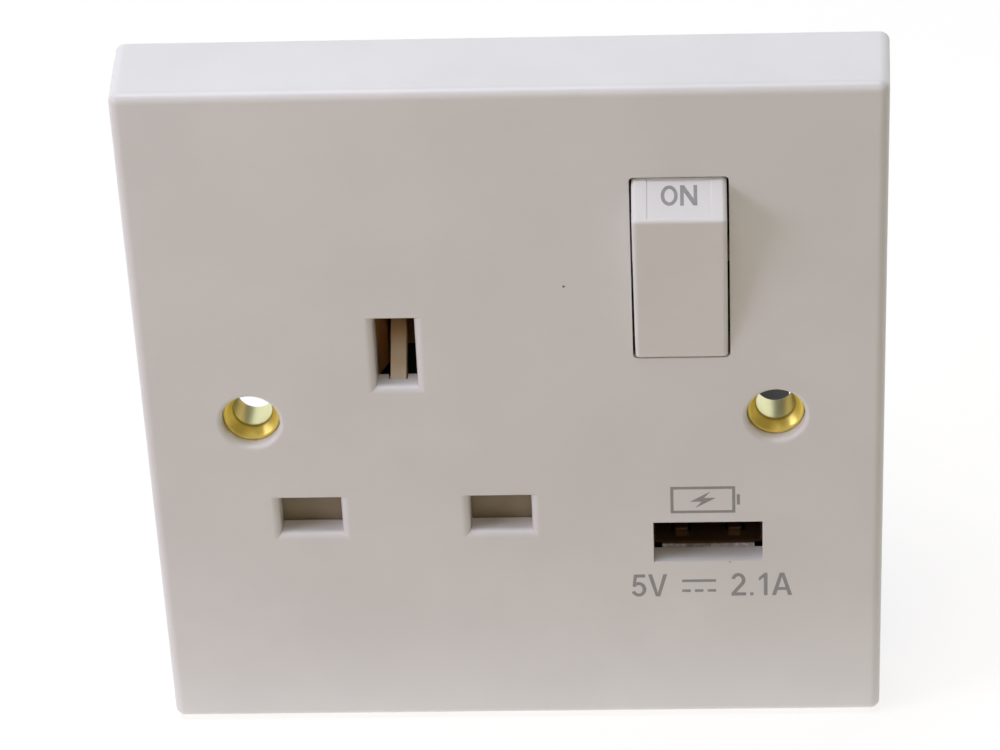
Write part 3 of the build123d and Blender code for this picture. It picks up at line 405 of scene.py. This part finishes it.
def worked_metal(name, colour, along, roughness, tarnish=0.12, film=0.0, relief=0.12):
    """Pressed, drawn or turned metal: fine marks, soft tarnish, a dull film on some, and bright edges."""
    finish = Finish(name, Metallic=1.0)
    place = finish.place
    marks = place.stretched(along).noise(1.0, detail=4.0, roughness=0.65)
    stain = place.noise(STAINS, detail=5.0, roughness=0.6)
    worn = place.edges(METAL_EDGE * WEAR_REACH)
    body = stain.fade(0.35, 0.75).mixed(colour, shade(colour, 1.0 - tarnish * 2.2))
    finish.set(Base_Color=(worn * 0.5).mixed(body, shade(colour, 1.12)))
    if film:
        finish.set(Metallic=1.0 - film * stain.fade(0.2, 0.7, 0.6, 1.0))
    finish.set(Roughness=roughness + (marks - 0.5) * 0.16 + stain.fade(0.4, 0.8) * tarnish)
    return finish.set(Normal=marks.bumped(relief, RELIEF_DEPTH, place.edge_normal(METAL_EDGE)))


def colour_setting(name, description, default):
    """A colour that a user may change."""
    return FloatVectorProperty(
        name=name, description=description, subtype="COLOR", size=len(default), default=default,
    )


def stroke_setting(name, description, default):
    """A letter's stroke, as a share of its height."""
    return FloatProperty(
        name=name, description=description, default=default, min=0.05, max=0.3, subtype="FACTOR",
    )


def power_setting(name, description, default):
    """A light's power."""
    return FloatProperty(name=name, description=description, default=default, min=0.0, unit="POWER")


class SocketFinishes(bpy.types.PropertyGroup):
    """Colours of the socket's materials."""

    plate: colour_setting("Plate white", "Faceplate and rocker", (0.75, 0.728, 0.695, 1.0))
    speck: colour_setting("Speck", "Dark specks in the faceplate", (0.05, 0.045, 0.04, 1.0))
    ivory: colour_setting("Shutter ivory", "Shutter, its cover and the plunger", (0.85, 0.71, 0.52, 1.0))
    # Painted shade: the live shutters' ivory is darkened to stand for the shade deep in their slots
    shaded_ivory: colour_setting("Dim ivory", "Live shutters, deep in their slots", (0.285, 0.232, 0.155, 1.0))
    # Painted shade at the top of the tongue, warmed as by light off the brass jaws
    tongue_top_shade: colour_setting("Amber", "Top of the shutter's tongue", (0.55, 0.34, 0.16, 1.0))
    housing: colour_setting("Housing grey", "Rear housing and terminal shrouds", (0.085, 0.083, 0.09, 1.0))
    black: colour_setting("Black", "Port's insulator and the charger's chips", (0.018, 0.018, 0.02, 1.0))
    bronze: colour_setting("Spring bronze", "Jaws and the rocking contact", (1.0, 0.56, 0.22, 1.0))
    brass: colour_setting("Brass", "Strips and terminals", (0.84, 0.62, 0.27, 1.0))
    flare_brass: colour_setting("Flare brass", "Flared mouths of the eyelets", (1.0, 0.79, 0.16, 1.0))
    # Partly painted reflection: the tubes' paler, greener brass stands in part for bright light reflected
    # down the bore
    tube_reflection_brass: colour_setting("Tube brass", "Polished tubes of the eyelets", (0.97, 0.95, 0.57, 1.0))
    silver: colour_setting("Silver", "Contact tips", (0.82, 0.81, 0.78, 1.0))
    steel: colour_setting("Plated steel", "Port shell and housing screws", (0.66, 0.66, 0.65, 1.0))
    # Painted shade: darkens the port's metal past its lips
    port_inside_shade: colour_setting("Port stain", "Dulled metal inside the port", (0.17, 0.10, 0.05, 1.0))
    gilt: colour_setting("Gilt", "Port's contacts", (0.86, 0.63, 0.24, 1.0))
    spring_wire: colour_setting("Spring wire", "Wound springs", (0.5, 0.5, 0.5, 1.0))
    solder_mask: colour_setting("Solder mask", "Charger's board", (0.015, 0.12, 0.045, 1.0))
    track: colour_setting("Track", "Copper tracks under the solder mask", (0.04, 0.24, 0.09, 1.0))
    ferrite: colour_setting("Ferrite", "Transformer's core", (0.05, 0.05, 0.052, 1.0))
    tape: colour_setting("Tape", "Tape round the transformer's coil", (0.72, 0.52, 0.06, 1.0))
    tape_lap: colour_setting("Tape lap", "Edge of each turn of the tape", (0.42, 0.30, 0.03, 1.0))
    capacitor: colour_setting("Capacitor", "Sleeves of the capacitors", (0.03, 0.035, 0.06, 1.0))
    line_sleeve: colour_setting("Line brown", "Sleeve of the line lead", (0.16, 0.07, 0.03, 1.0))
    neutral_sleeve: colour_setting("Neutral blue", "Sleeve of the neutral lead", (0.03, 0.11, 0.38, 1.0))
    ink: colour_setting("Print grey", "Printed words and signs", (0.31, 0.305, 0.30, 1.0))


class SocketPrint(bpy.types.PropertyGroup):
    """Words and sizes of the print."""

    switch_word: StringProperty(name="Switch word", description="Word on the rocker", default="ON")
    volts: StringProperty(name="Volts", description="Figure left of the current sign", default="5V")
    amps: StringProperty(name="Amps", description="Figure right of the current sign", default="2.1A")
    switch_stroke: stroke_setting("Switch stroke", "Stroke of the word, as a share of its height", 0.17)
    rating_stroke: stroke_setting("Rating stroke", "Stroke of the rating, as a share of its height", 0.135)
    thickness: FloatProperty(
        name="Ink thickness", description="How far the ink stands off the surface",
        default=0.012 * MM, min=0.001 * MM, unit="LENGTH",
    )
    line: FloatProperty(
        name="Sign line", description="Line width of the printed signs", default=0.36 * MM, unit="LENGTH",
    )


class SocketStage(bpy.types.PropertyGroup):
    """Lights, floor and lens."""

    floor: colour_setting("Floor", "Floor and bounce card", (0.32, 0.30, 0.25, 1.0))
    floor_glow: colour_setting("Floor glow", "Light of floor and back of the card", (0.74, 0.74, 0.76, 1.0))
    near_glow: colour_setting("Near glow", "Light of the front of the card", (0.34, 0.32, 0.28, 1.0))
    back_air: colour_setting("Air behind", "Even light from behind the plate", (0.95, 0.97, 1.0, 1.0))
    front_air: colour_setting("Air in front", "Even light from before the plate", (0.05, 0.043, 0.03, 1.0))
    top_light: colour_setting("Top light", "Softbox above", (0.83, 0.885, 1.0))
    top_power: power_setting("Top power", "Strength of the softbox above", 5.4)
    side_light: colour_setting("Side light", "Softbox on the left", (0.84, 0.79, 1.0))
    side_power: power_setting("Side power", "Strength of the softbox on the left", 1.35)
    fill_light: colour_setting("Fill light", "Softbox by the camera", (1.0, 0.83, 0.66))
    fill_power: power_setting("Fill power", "Strength of the softbox by the camera", 0.6)
    lens: FloatProperty(name="Lens", description="Focal length", default=129.95, unit="CAMERA")


class SOCKET_OT_white_mouldings(bpy.types.Operator):
    """Finish the faceplate and the rocker in white moulded plastic"""

    bl_idname = "socket.white_mouldings"
    bl_label = "White mouldings"

    def execute(self, context):
        colours = context.scene.socket_finishes
        paint(moulded("white_moulding", colours.plate, **WHITE_FINISH), "rocker")
        paint(self.specked(colours), "faceplate")
        return {"FINISHED"}

    def specked(self, colours):
        """The white moulding with its two dark specks."""
        finish = moulded("white_plate", colours.plate, **WHITE_FINISH)
        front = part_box("faceplate")[0].y
        body = finish.fed("Base Color")
        for x, z, dark in SPECKS:
            away = finish.place.distance((x * MM, front, z * MM))
            body = away.fade(SPECK_RIM, SPECK_CORE, 0.0, dark).mixed(body, colours.speck)
        return finish.set(Base_Color=body)


class SOCKET_OT_inner_mouldings(bpy.types.Operator):
    """Finish the shutter, its cover, the plunger, the insulators and the rear housing"""

    bl_idname = "socket.inner_mouldings"
    bl_label = "Inner mouldings"

    def execute(self, context):
        colours = context.scene.socket_finishes
        paint(self.height_shaded(colours), "shutter", "shutter_cover")
        paint(moulded("plunger_ivory", colours.ivory, **IVORY_FINISH), "rocker_plunger")
        grey = moulded("grey_moulding", colours.housing, grain=0.6, roughness=0.5)
        paint(grey, "rear_housing", "line_shroud", "earth_shroud", "neutral_shroud")
        black = moulded("black_moulding", colours.black, grain=0.4, roughness=0.4)
        paint(black, "usb_tongue", "board_chips")
        return {"FINISHED"}

    def height_shaded(self, colours):
        """Ivory with painted shade: dark on the live shutters deep in their slots, full on the tongue, warm
        at the tongue's top.
        """
        finish = moulded("ivory_moulding", colours.ivory, **IVORY_FINISH)
        _, _, height = finish.place.axes()
        # Painted shade: the tongue's top fades to a warm shade colour
        tongue = height.fade(*TONGUE_SHADE_HEIGHTS).mixed(finish.fed("Base Color"), colours.tongue_top_shade)
        return finish.set(Base_Color=height.fade(*SHADE_HEIGHTS).mixed(colours.shaded_ivory, tongue))


class SOCKET_OT_brass(bpy.types.Operator):
    """Finish the brass strips, jaws, terminals and eyelets, and the contact tips"""

    bl_idname = "socket.brass"
    bl_label = "Brass"

    def execute(self, context):
        colours = context.scene.socket_finishes
        sprung = worked_metal("spring_bronze", colours.bronze, ROLLED_MARKS, roughness=0.42, film=0.8)
        paint(sprung, "line_contact", "neutral_contact", "earth_contact", "rocking_contact")
        rolled = worked_metal("rolled_brass", colours.brass, ROLLED_MARKS, roughness=0.36, film=0.2)
        paint(rolled, "line_bus", "line_feed", "neutral_bus", "earth_strap")
        turned = worked_metal("turned_brass", colours.brass, TURNED_MARKS, roughness=0.28, tarnish=0.16)
        paint(turned, "line_terminal", "earth_terminal", "neutral_terminal", "terminal_screws")
        paint(self.spun(colours.flare_brass, colours.tube_reflection_brass), "eyelet_left", "eyelet_right")
        silver = worked_metal("silver_tip", colours.silver, FINE_MARKS, roughness=0.25)
        paint(silver, "moving_tip", "fixed_tip")
        return {"FINISHED"}

    def spun(self, flare, tube):
        """Satin brass, golden at the flared mouth, with painted shade in the fold, and paler down the tube,
        partly a painted reflection of its bright bore.
        """
        satin = {"roughness": 0.32, "tarnish": 0.08, "film": 0.78, "relief": 0.006}
        finish = worked_metal("spun_brass", flare, SPUN_MARKS, **satin)
        _, y, _ = finish.place.axes()
        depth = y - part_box("eyelet_left")[0].y
        down = depth.fade(FLARE_END, TUBE_START)
        fold = depth.near(FOLD_DEPTH, FOLD_CORE, FOLD_RIM)
        finish.set(Metallic=down.at_least(finish.fed("Metallic")))
        finish.set(Roughness=finish.fed("Roughness") * (1.0 - down) + down * TUBE_ROUGHNESS)
        finish.set(Normal=finish.fed("Normal").leaned((1.0 - down) * FLARE_LEAN, FORWARD))
        # Painted shade: a dark ring in the fold between flare and tube
        golden = (fold * 0.8).mixed(finish.fed("Base Color"), shade(flare, 0.3))
        # Partly painted reflection: the tube takes the paler brass
        return finish.set(Base_Color=down.mixed(golden, tube))


class SOCKET_OT_port(bpy.types.Operator):
    """Finish the port's shell and contacts, and the housing screws"""

    bl_idname = "socket.port"
    bl_label = "Port"

    def execute(self, context):
        colours = context.scene.socket_finishes
        paint(self.port_light_and_shade(colours.steel, colours.port_inside_shade), "usb_shell")
        paint(worked_metal("plated_screw", colours.steel, PLATED_MARKS, roughness=0.3), "housing_screws")
        paint(worked_metal("gilt_contact", colours.gilt, DRAWN_MARKS, roughness=0.22), "usb_contacts")
        return {"FINISHED"}

    def port_light_and_shade(self, steel, stain):
        """Plated steel with painted light: glinting painted highlights at the ends of its lips, painted
        shade further in, and paler painted light on the spring leaves.
        """
        finish = worked_metal("port_shell", shade(steel, 1.4), DRAWN_MARKS, roughness=0.34)
        low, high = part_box("usb_shell")
        x, y, _ = finish.place.axes()
        aside = abs(x - (low.x + high.x) / 2.0)
        depth = y - low.y
        inside = depth.fade(*LIP_DEPTHS)
        # Painted highlights: glints that brighten the ends of the lips
        glints = finish.place.noise(LIP_GLINTS, detail=3.0, roughness=0.6).fade(0.44, 0.6, 0.5, 1.0)
        ends = aside.fade(*LIP_HIGHLIGHT_ENDS, 0.5, 1.0) * glints
        # Painted light: paler patches on the spring leaves inside the painted shade
        leaves = aside.near(LEAF_ASIDE, *LEAF_HALF_WIDTH) * depth.near(LEAF_DEPTH, *LEAF_HALF_LENGTH)
        # The stain colour here is the painted shade of the port's inside; the middles of the lips take some
        # of it too
        lip = ends.mixed(stain, finish.fed("Base Color"))
        finish.set(Base_Color=inside.mixed(lip, leaves.mixed(stain, shade(stain, 3.0))))
        return finish.set(Metallic=inside.fade(0.0, 1.0, 0.15, 0.7))


class SOCKET_OT_charger(bpy.types.Operator):
    """Finish the charger board, what stands on it and its leads"""

    bl_idname = "socket.charger"
    bl_label = "Charger"

    def execute(self, context):
        colours = context.scene.socket_finishes
        paint(self.board(colours), "usb_board")
        paint(moulded("ferrite", colours.ferrite, grain=0.9, roughness=0.6), "transformer_core")
        paint(self.taped(colours), "transformer_coil")
        sleeve = moulded("capacitor_sleeve", colours.capacitor, grain=0.1, roughness=0.3, coat=0.2)
        paint(sleeve, "input_capacitor", "output_capacitors")
        paint(moulded("brown_sleeve", colours.line_sleeve, **LEAD_FINISH), "line_lead")
        paint(moulded("blue_sleeve", colours.neutral_sleeve, **LEAD_FINISH), "neutral_lead")
        return {"FINISHED"}

    def board(self, colours):
        """Green solder mask over copper tracks."""
        finish = Finish("circuit_board", Coat_Weight=0.4, Coat_Roughness=0.15)
        place = finish.place
        x, _, _ = place.axes()
        lane = ((x + place.noise(TRACK_DRIFT) * TRACK_WANDER) / TRACK_PITCH).fraction()
        tracks = abs(lane - 0.5).fade(0.30, 0.26) * (place.noise(TRACK_PATCHES, detail=1.0) > 0.45)
        finish.set(Base_Color=tracks.mixed(colours.solder_mask, colours.track))
        finish.set(Roughness=0.4 - tracks * 0.1)
        return finish.set(Normal=tracks.bumped(0.4, TRACK_HEIGHT, place.edge_normal(BOARD_EDGE)))

    def taped(self, colours):
        """Yellow tape wound in overlapping turns."""
        finish = Finish("coil_tape", Coat_Weight=0.3, Coat_Roughness=0.2)
        place = finish.place
        _, _, z = place.axes()
        lap = ((z + place.noise(TAPE_DRIFT) * TAPE_WANDER) / TAPE_PITCH).fraction()
        finish.set(Base_Color=lap.fade(0.0, 0.12).mixed(colours.tape_lap, colours.tape))
        finish.set(Roughness=0.32 + place.noise(TAPE_GRAIN) * 0.12)
        return finish.set(Normal=lap.bumped(0.5, TAPE_HEIGHT, place.edge_normal(TAPE_EDGE)))


def drawn(name, lines, closed, **settings):
    """A mesh from lines of points, drawn as a curve with these settings; the curve itself goes."""
    curve = bpy.data.curves.new(name, "CURVE")
    for key, value in settings.items():
        setattr(curve, key, value)
    for line in lines:
        spline = curve.splines.new("POLY")
        spline.points.add(len(line) - 1)
        for point, place in zip(spline.points, line):
            point.co = (*place, 1.0)
        spline.use_cyclic_u = closed
    holder = bpy.data.objects.new(name, curve)
    mesh = bpy.data.meshes.new_from_object(holder)
    bpy.data.objects.remove(holder)
    bpy.data.curves.remove(curve)
    return mesh


def helix(foot, axis, side, radius, length):
    """Points along a spring's wire, up from its foot, with end turns that lie close."""
    other = axis.cross(side)
    rise = length - 2.0 * SPRING_WIRE
    steps = SPRING_TURNS * TURN_STEPS
    route = []
    for step in range(steps + 1):
        share = step / steps
        eased = share - END_CLOSING * math.sin(math.tau * share) / math.tau
        turn = math.tau * SPRING_TURNS * share
        around = side * math.cos(turn) + other * math.sin(turn)
        route.append(foot + axis * (SPRING_WIRE + rise * eased) + around * radius)
    return route


class SOCKET_OT_springs(bpy.types.Operator):
    """Wind the rocker's spring and the shutter's spring"""

    bl_idname = "socket.springs"
    bl_label = "Springs"

    def execute(self, context):
        colour = context.scene.socket_finishes.spring_wire
        wire = worked_metal("spring_wire", colour, FINE_MARKS, roughness=0.3)
        for joint in frame["joints"]:
            for soft in joint.get("deforming_nodes", []):
                self.wind(soft["node"], joint, wire)
        return {"FINISHED"}

    def wind(self, node, joint, wire):
        """A round-wire spring with closed ends, where the CAD spring is."""
        axis = -Vector(joint["axis"]).normalized()
        points = [vertex.co for vertex in frame["nodes"][node].data.vertices]
        reach = [point.dot(axis) for point in points]
        length = max(reach) - min(reach)
        centre = sum(points, Vector()) / len(points)
        foot = centre + axis * (min(reach) - centre.dot(axis))
        side = axis.cross(RIGHT).normalized()
        outer = max(abs((point - centre).dot(side)) for point in points)
        route = helix(foot, axis, side, outer - SPRING_WIRE, length)
        thick = {"bevel_depth": SPRING_WIRE, "bevel_resolution": 3, "use_fill_caps": True}
        mesh = drawn(node, [route], closed=False, dimensions="3D", **thick)
        mesh.shade_smooth()
        piece = new_piece(node + "_wound", mesh, joint["parent"], wire)
        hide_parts(node)
        travel = joint["range_m"][1]
        1.0 - travel / length
        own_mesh(piece)


def placed(origin, x_way, y_way, z_way):
    """A matrix with this origin and its axes along these ways."""
    return Matrix.Translation(origin) @ Matrix((x_way, y_way, z_way)).transposed().to_4x4()


def flat_frame(origin, normal):
    """A matrix that lays drawings on a face: x to the right, y up the face, z off it."""
    off = Vector(normal).normalized()
    up = off.cross(RIGHT).normalized()
    return placed(origin, up.cross(off), up, off)


def arc(centre, radii, start, end, steps=20):
    """Points round an ellipse, from one angle to another in degrees."""
    turns = [math.radians(start + (end - start) * step / steps) for step in range(steps + 1)]
    return [(centre[0] + radii[0] * math.cos(turn), centre[1] + radii[1] * math.sin(turn)) for turn in turns]


def bar(left, low, right, high):
    """A rectangle's corners."""
    return [(left, low), (right, low), (right, high), (left, high)]


# Letters: outlines one cap height tall, each from its width and its stroke in cap heights
def letter_o(wide, thick):
    """Outlines of an O, the second one its counter."""
    middle = outer = (wide / 2.0, 0.5)
    inner = (outer[0] - thick, outer[1] - thick)
    return [arc(middle, outer, 0.0, 345.0), arc(middle, inner, 0.0, 345.0)]


def letter_n(wide, thick):
    """Outline of an N."""
    left = [(0.0, 0.0), (0.0, 1.0), (1.1 * thick, 1.0), (wide - thick, 0.34), (wide - thick, 1.0)]
    return [left + [(wide - x, 1.0 - y) for x, y in left]]


def letter_v(wide, thick):
    """Outline of a V."""
    left = [(wide / 2.0 - 0.6 * thick, 0.0), (0.0, 1.0), (1.1 * thick, 1.0)]
    return [left + [(wide / 2.0, 0.17)] + [(wide - x, y) for x, y in reversed(left)]]


def letter_a(wide, thick):
    """Outlines of an A, the second one its counter."""
    low, high, peak = 0.23, 0.23 + 0.9 * thick, 0.83

    def inside(y):
        return 1.1 * thick + (wide / 2.0 - 1.1 * thick) * y / peak

    left = [(inside(low), low), (inside(0.0), 0.0), (0.0, 0.0), (wide / 2.0 - 0.6 * thick, 1.0)]
    counter = [(inside(high), high), (wide / 2.0, peak), (wide - inside(high), high)]
    return [left + [(wide - x, y) for x, y in reversed(left)], counter]


def figure_1(wide, thick):
    """Outline of a 1 with its flag."""
    stem = [(wide - thick, 0.0), (wide, 0.0), (wide, 1.0)]
    flag = [(wide - 0.8 * thick, 1.0), (0.0, 0.79), (0.0, 0.65), (wide - thick, 0.8)]
    return [stem + flag]


def figure_2(wide, thick):
    """Outline of a 2."""
    middle, outer = (0.48 * wide, 0.69), (0.48 * wide, 0.31)
    inner = (outer[0] - thick, outer[1] - thick)
    foot = [(0.0, 0.11), (0.0, 0.0), (wide, 0.0), (wide, thick), (0.34 * wide, thick)]
    return [arc(middle, inner, 168.0, -38.0) + foot + arc(middle, outer, -38.0, 168.0)]


def figure_5(wide, thick):
    """Outline of a 5."""
    middle, outer = (0.46 * wide, 0.33), (0.54 * wide, 0.33)
    inner = (outer[0] - thick, outer[1] - thick)
    left, right, under = 0.13 * wide, 0.94 * wide, 1.0 - thick
    flag = [(0.03 * wide, 0.46), (left, 1.0), (right, 1.0), (right, under), (left + 0.85 * thick, under)]
    return [flag + arc(middle, outer, 110.0, -160.0) + arc(middle, inner, -160.0, 148.0)]


def full_stop(wide, thick):
    """Outline of a square stop."""
    return [bar(0.0, 0.0, wide, thick)]


# Each letter's width and side space in cap heights, and what draws it
LETTERS = {
    "O": (0.80, 0.055, letter_o),
    "N": (0.80, 0.055, letter_n),
    "V": (0.71, 0.035, letter_v),
    "A": (0.735, 0.05, letter_a),
    "1": (0.315, 0.11, figure_1),
    "2": (0.537, 0.06, figure_2),
    "5": (0.52, 0.04, figure_5),
    ".": (0.117, 0.09, full_stop),
}


def lettering(word, stroke, box):
    """Outlines of a word that fills a box, with strokes of this share of its height."""
    outlines, cursor = [], 0.0
    for letter in word:
        if letter not in LETTERS:
            raise RuntimeError("no letter is drawn for " + letter)
        width, space, draw = LETTERS[letter]
        cursor += space
        outlines += [[(x + cursor, y) for x, y in line] for line in draw(width, stroke)]
        cursor += width + space
    first, last = LETTERS[word[0]][1], LETTERS[word[-1]][1]
    left, low, right, high = box
    across = (right - left) / (cursor - first - last)
    tall = high - low
    return [[(left + (x - first) * across, low + y * tall) for x, y in line] for line in outlines]


def ink_film(name, outlines, face, film):
    """A film of ink on a face, from outlines in millimetres; one inside another is a hole."""
    lines = [[(x, y, 0.0) for x, y in outline] for outline in outlines]
    mesh = drawn(name, lines, closed=True, dimensions="2D", fill_mode="BOTH", extrude=film / MM)
    mesh.transform(face @ Matrix.Scale(MM, 4))
    return mesh


class SOCKET_OT_print(bpy.types.Operator):
    """Print the switch word, the charging sign and the port's rating"""

    bl_idname = "socket.print"
    bl_label = "Print"

    def execute(self, context):
        words = context.scene.socket_print
        ink = self.ink(context.scene.socket_finishes.ink)
        line = words.line / MM
        front = flat_frame((0.0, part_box("faceplate")[0].y, 0.0), FORWARD)
        switch = lettering(words.switch_word, words.switch_stroke, SWITCH_BOX)
        prints = {
            "print_volts": (lettering(words.volts, words.rating_stroke, VOLTS_BOX), front, BASE),
            "print_amps": (lettering(words.amps, words.rating_stroke, AMPS_BOX), front, BASE),
            "print_current": (self.current_sign(line), front, BASE),
            "print_charge": (self.charge_sign(line), front, BASE),
            "print_switch": (switch, self.label(), ROCKER),
        }
        for name, (outlines, face, body) in prints.items():
            new_piece(name, ink_film(name, outlines, face, words.thickness), body, ink)
        return {"FINISHED"}

    def ink(self, grey):
        """Pad-printed ink, a little uneven."""
        finish = Finish("print_ink")
        cover = finish.place.noise(INK_COVER, detail=3.0)
        finish.set(Base_Color=cover.fade(0.25, 0.7).mixed(shade(grey, 1.08), shade(grey, 0.95)))
        return finish.set(Roughness=0.5 + cover * 0.1)

    def current_sign(self, line):
        """The direct-current sign: a line over three dashes."""
        left, low, right, high = CURRENT_BOX
        dash = (right - left) / 4.0
        step = (right - left - dash) / 2.0
        starts = [left + step * count for count in range(3)]
        return [bar(left, high - line, right, high)] + [bar(x, low, x + dash, low + line) for x in starts]

    def charge_sign(self, line):
        """A battery outline with its terminal, and a bolt inside."""
        left, low, right, high = CHARGE_BOX
        centre, middle = (left + right) / 2.0, (low + high) / 2.0
        upper = [(0.9, 1.15), (-1.5, -0.25), (-0.15, -0.25)]
        bolt = upper + [(-x, -y) for x, y in upper]
        return [
            bar(left, low, right, high),
            bar(left + line, low + line, right - line, high - line),
            bar(right + line / 2.0, middle - 2.0 * line, right + 1.5 * line, middle + 2.0 * line),
            [(centre + x, middle + y) for x, y in bolt],
        ]

    def label(self):
        """The frame of the rocker's label, found by looking at its top facet from the front."""
        low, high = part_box(ROCKER)
        start = Vector(((low.x + high.x) / 2.0, low.y - LABEL_LOOK, high.z - LABEL_DROP))
        found, place, normal, _ = frame["nodes"][ROCKER].ray_cast(start, -FORWARD)
        if not found:
            raise RuntimeError("the rocker's top facet wasn't found")
        return flat_frame(place, normal)


class SOCKET_OT_stage(bpy.types.Operator):
    """Lay the floor, hang the softboxes and set the camera"""

    bl_idname = "socket.stage"
    bl_label = "Stage"

    def execute(self, context):
        scene = context.scene
        stage = scene.socket_stage
        scene.view_settings.view_transform = "Standard"
        self.lay_floor(scene, stage)
        self.light_air(scene, stage)
        for name in SOFTBOXES:
            self.hang(scene, stage, name)
        self.set_camera(scene, stage)
        return {"FINISHED"}

    def light_air(self, scene, stage):
        """Even light from all round, brighter behind the plate."""
        world = bpy.data.worlds.new("studio_air")
        world.use_nodes = True
        tree = world.node_tree
        _, behind, _ = Wire(tree).node("TexCoord", out="Generated").axes()
        air = behind.fade(*AIR_BRIGHTENS).mixed(stage.front_air, stage.back_air)
        tree.links.new(air.socket, tree.nodes["Background"].inputs["Color"])
        scene.world = world

    def lay_floor(self, scene, stage):
        """A wide pale floor that the plate stands on, and a card under it that bounces light alone."""
        even = self.pale("pale_floor", stage, Emission_Color=stage.floor_glow)
        floor = self.lay(scene, "floor", even, cad_low.z)
        floor.visible_diffuse = False
        floor.visible_glossy = False
        floor.visible_shadow = False
        graded = self.pale("bounce_card", stage)
        _, behind, _ = graded.place.axes()
        graded.set(Emission_Color=behind.fade(*CARD_BRIGHTENS).mixed(stage.near_glow, stage.floor_glow))
        card = self.lay(scene, "bounce_card", graded, cad_low.z - CARD_DROP)
        card.visible_camera = False

    def pale(self, name, stage, **constants):
        """Matt, faintly cloudy card with a glow of its own."""
        finish = Finish(name, Roughness=0.9, Emission_Strength=1.0, **constants)
        cloud = finish.place.noise(FLOOR_CLOUDS, detail=3.0)
        return finish.set(Base_Color=cloud.mixed(shade(stage.floor, 0.985), stage.floor))

    def lay(self, scene, name, finish, level):
        """A wide square at this level, which is stage and no part of the socket."""
        mesh = bpy.data.meshes.new(name)
        corners = [(x, y, level) for x, y in bar(-FLOOR_HALF, -FLOOR_HALF, FLOOR_HALF, FLOOR_HALF)]
        mesh.from_pydata(corners, [], [(0, 1, 2, 3)])
        mesh.materials.append(finish.material)
        square = bpy.data.objects.new(name, mesh)
        scene.collection.objects.link(square)
        return square

    def hang(self, scene, stage, name):
        """A square softbox that faces the middle of the plate."""
        place, width = SOFTBOXES[name]
        lamp = bpy.data.lights.new(name + "_softbox", "AREA")
        lamp.size = width
        lamp.color = getattr(stage, name + "_light")
        lamp.energy = getattr(stage, name + "_power")
        box = bpy.data.objects.new(name + "_softbox", lamp)
        box.location = place
        box.rotation_euler = (-Vector(place)).to_track_quat("-Z", "Y").to_euler()
        scene.collection.objects.link(box)

    def set_camera(self, scene, stage):
        """A long lens, above and a little right of the plate."""
        lens = bpy.data.cameras.new("studio_camera")
        lens.lens = stage.lens
        lens.shift_x, lens.shift_y = LENS_SHIFT
        lens.clip_start, lens.clip_end = CLIPPING
        camera = bpy.data.objects.new("studio_camera", lens)
        ahead = Vector(CAMERA_AHEAD).normalized()
        up = Vector(CAMERA_RIGHT).cross(ahead).normalized()
        camera.matrix_world = placed(CAMERA_PLACE, ahead.cross(up), up, -ahead)
        scene.collection.objects.link(camera)
        scene.camera = camera


class SOCKET_PT_looks(bpy.types.Panel):
    """Lists the socket's settings, with the stage's, and a button for each step"""

    bl_label = "Wall socket"
    bl_idname = "SOCKET_PT_looks"
    bl_space_type = "VIEW_3D"
    bl_region_type = "UI"
    bl_category = "Socket"

    def draw(self, context):
        for name in GROUPS:
            group = getattr(context.scene, name)
            for setting in group.__annotations__:
                self.layout.prop(group, setting)
        for step in STEPS:
            self.layout.operator(step.bl_idname)


STEPS = (
    SOCKET_OT_white_mouldings,
    SOCKET_OT_inner_mouldings,
    SOCKET_OT_brass,
    SOCKET_OT_port,
    SOCKET_OT_charger,
    SOCKET_OT_springs,
    SOCKET_OT_print,
    SOCKET_OT_stage,
)
GROUPS = {"socket_finishes": SocketFinishes, "socket_print": SocketPrint, "socket_stage": SocketStage}


def register():
    """Register the classes and hang the settings on the scene."""
    for group in (*GROUPS.values(), *STEPS, SOCKET_PT_looks):
        bpy.utils.register_class(group)
    for name, group in GROUPS.items():
        setattr(bpy.types.Scene, name, PointerProperty(type=group))


def unregister():
    """Take the settings off the scene and unregister the classes."""
    for name in GROUPS:
        delattr(bpy.types.Scene, name)
    for group in (SOCKET_PT_looks, *reversed(STEPS), *GROUPS.values()):
        bpy.utils.unregister_class(group)


def main():
    """Dress the socket."""
    register()
    for step in STEPS:
        getattr(bpy.ops.socket, step.bl_idname.split(".")[1])()


if __name__ == "__main__":
    main()
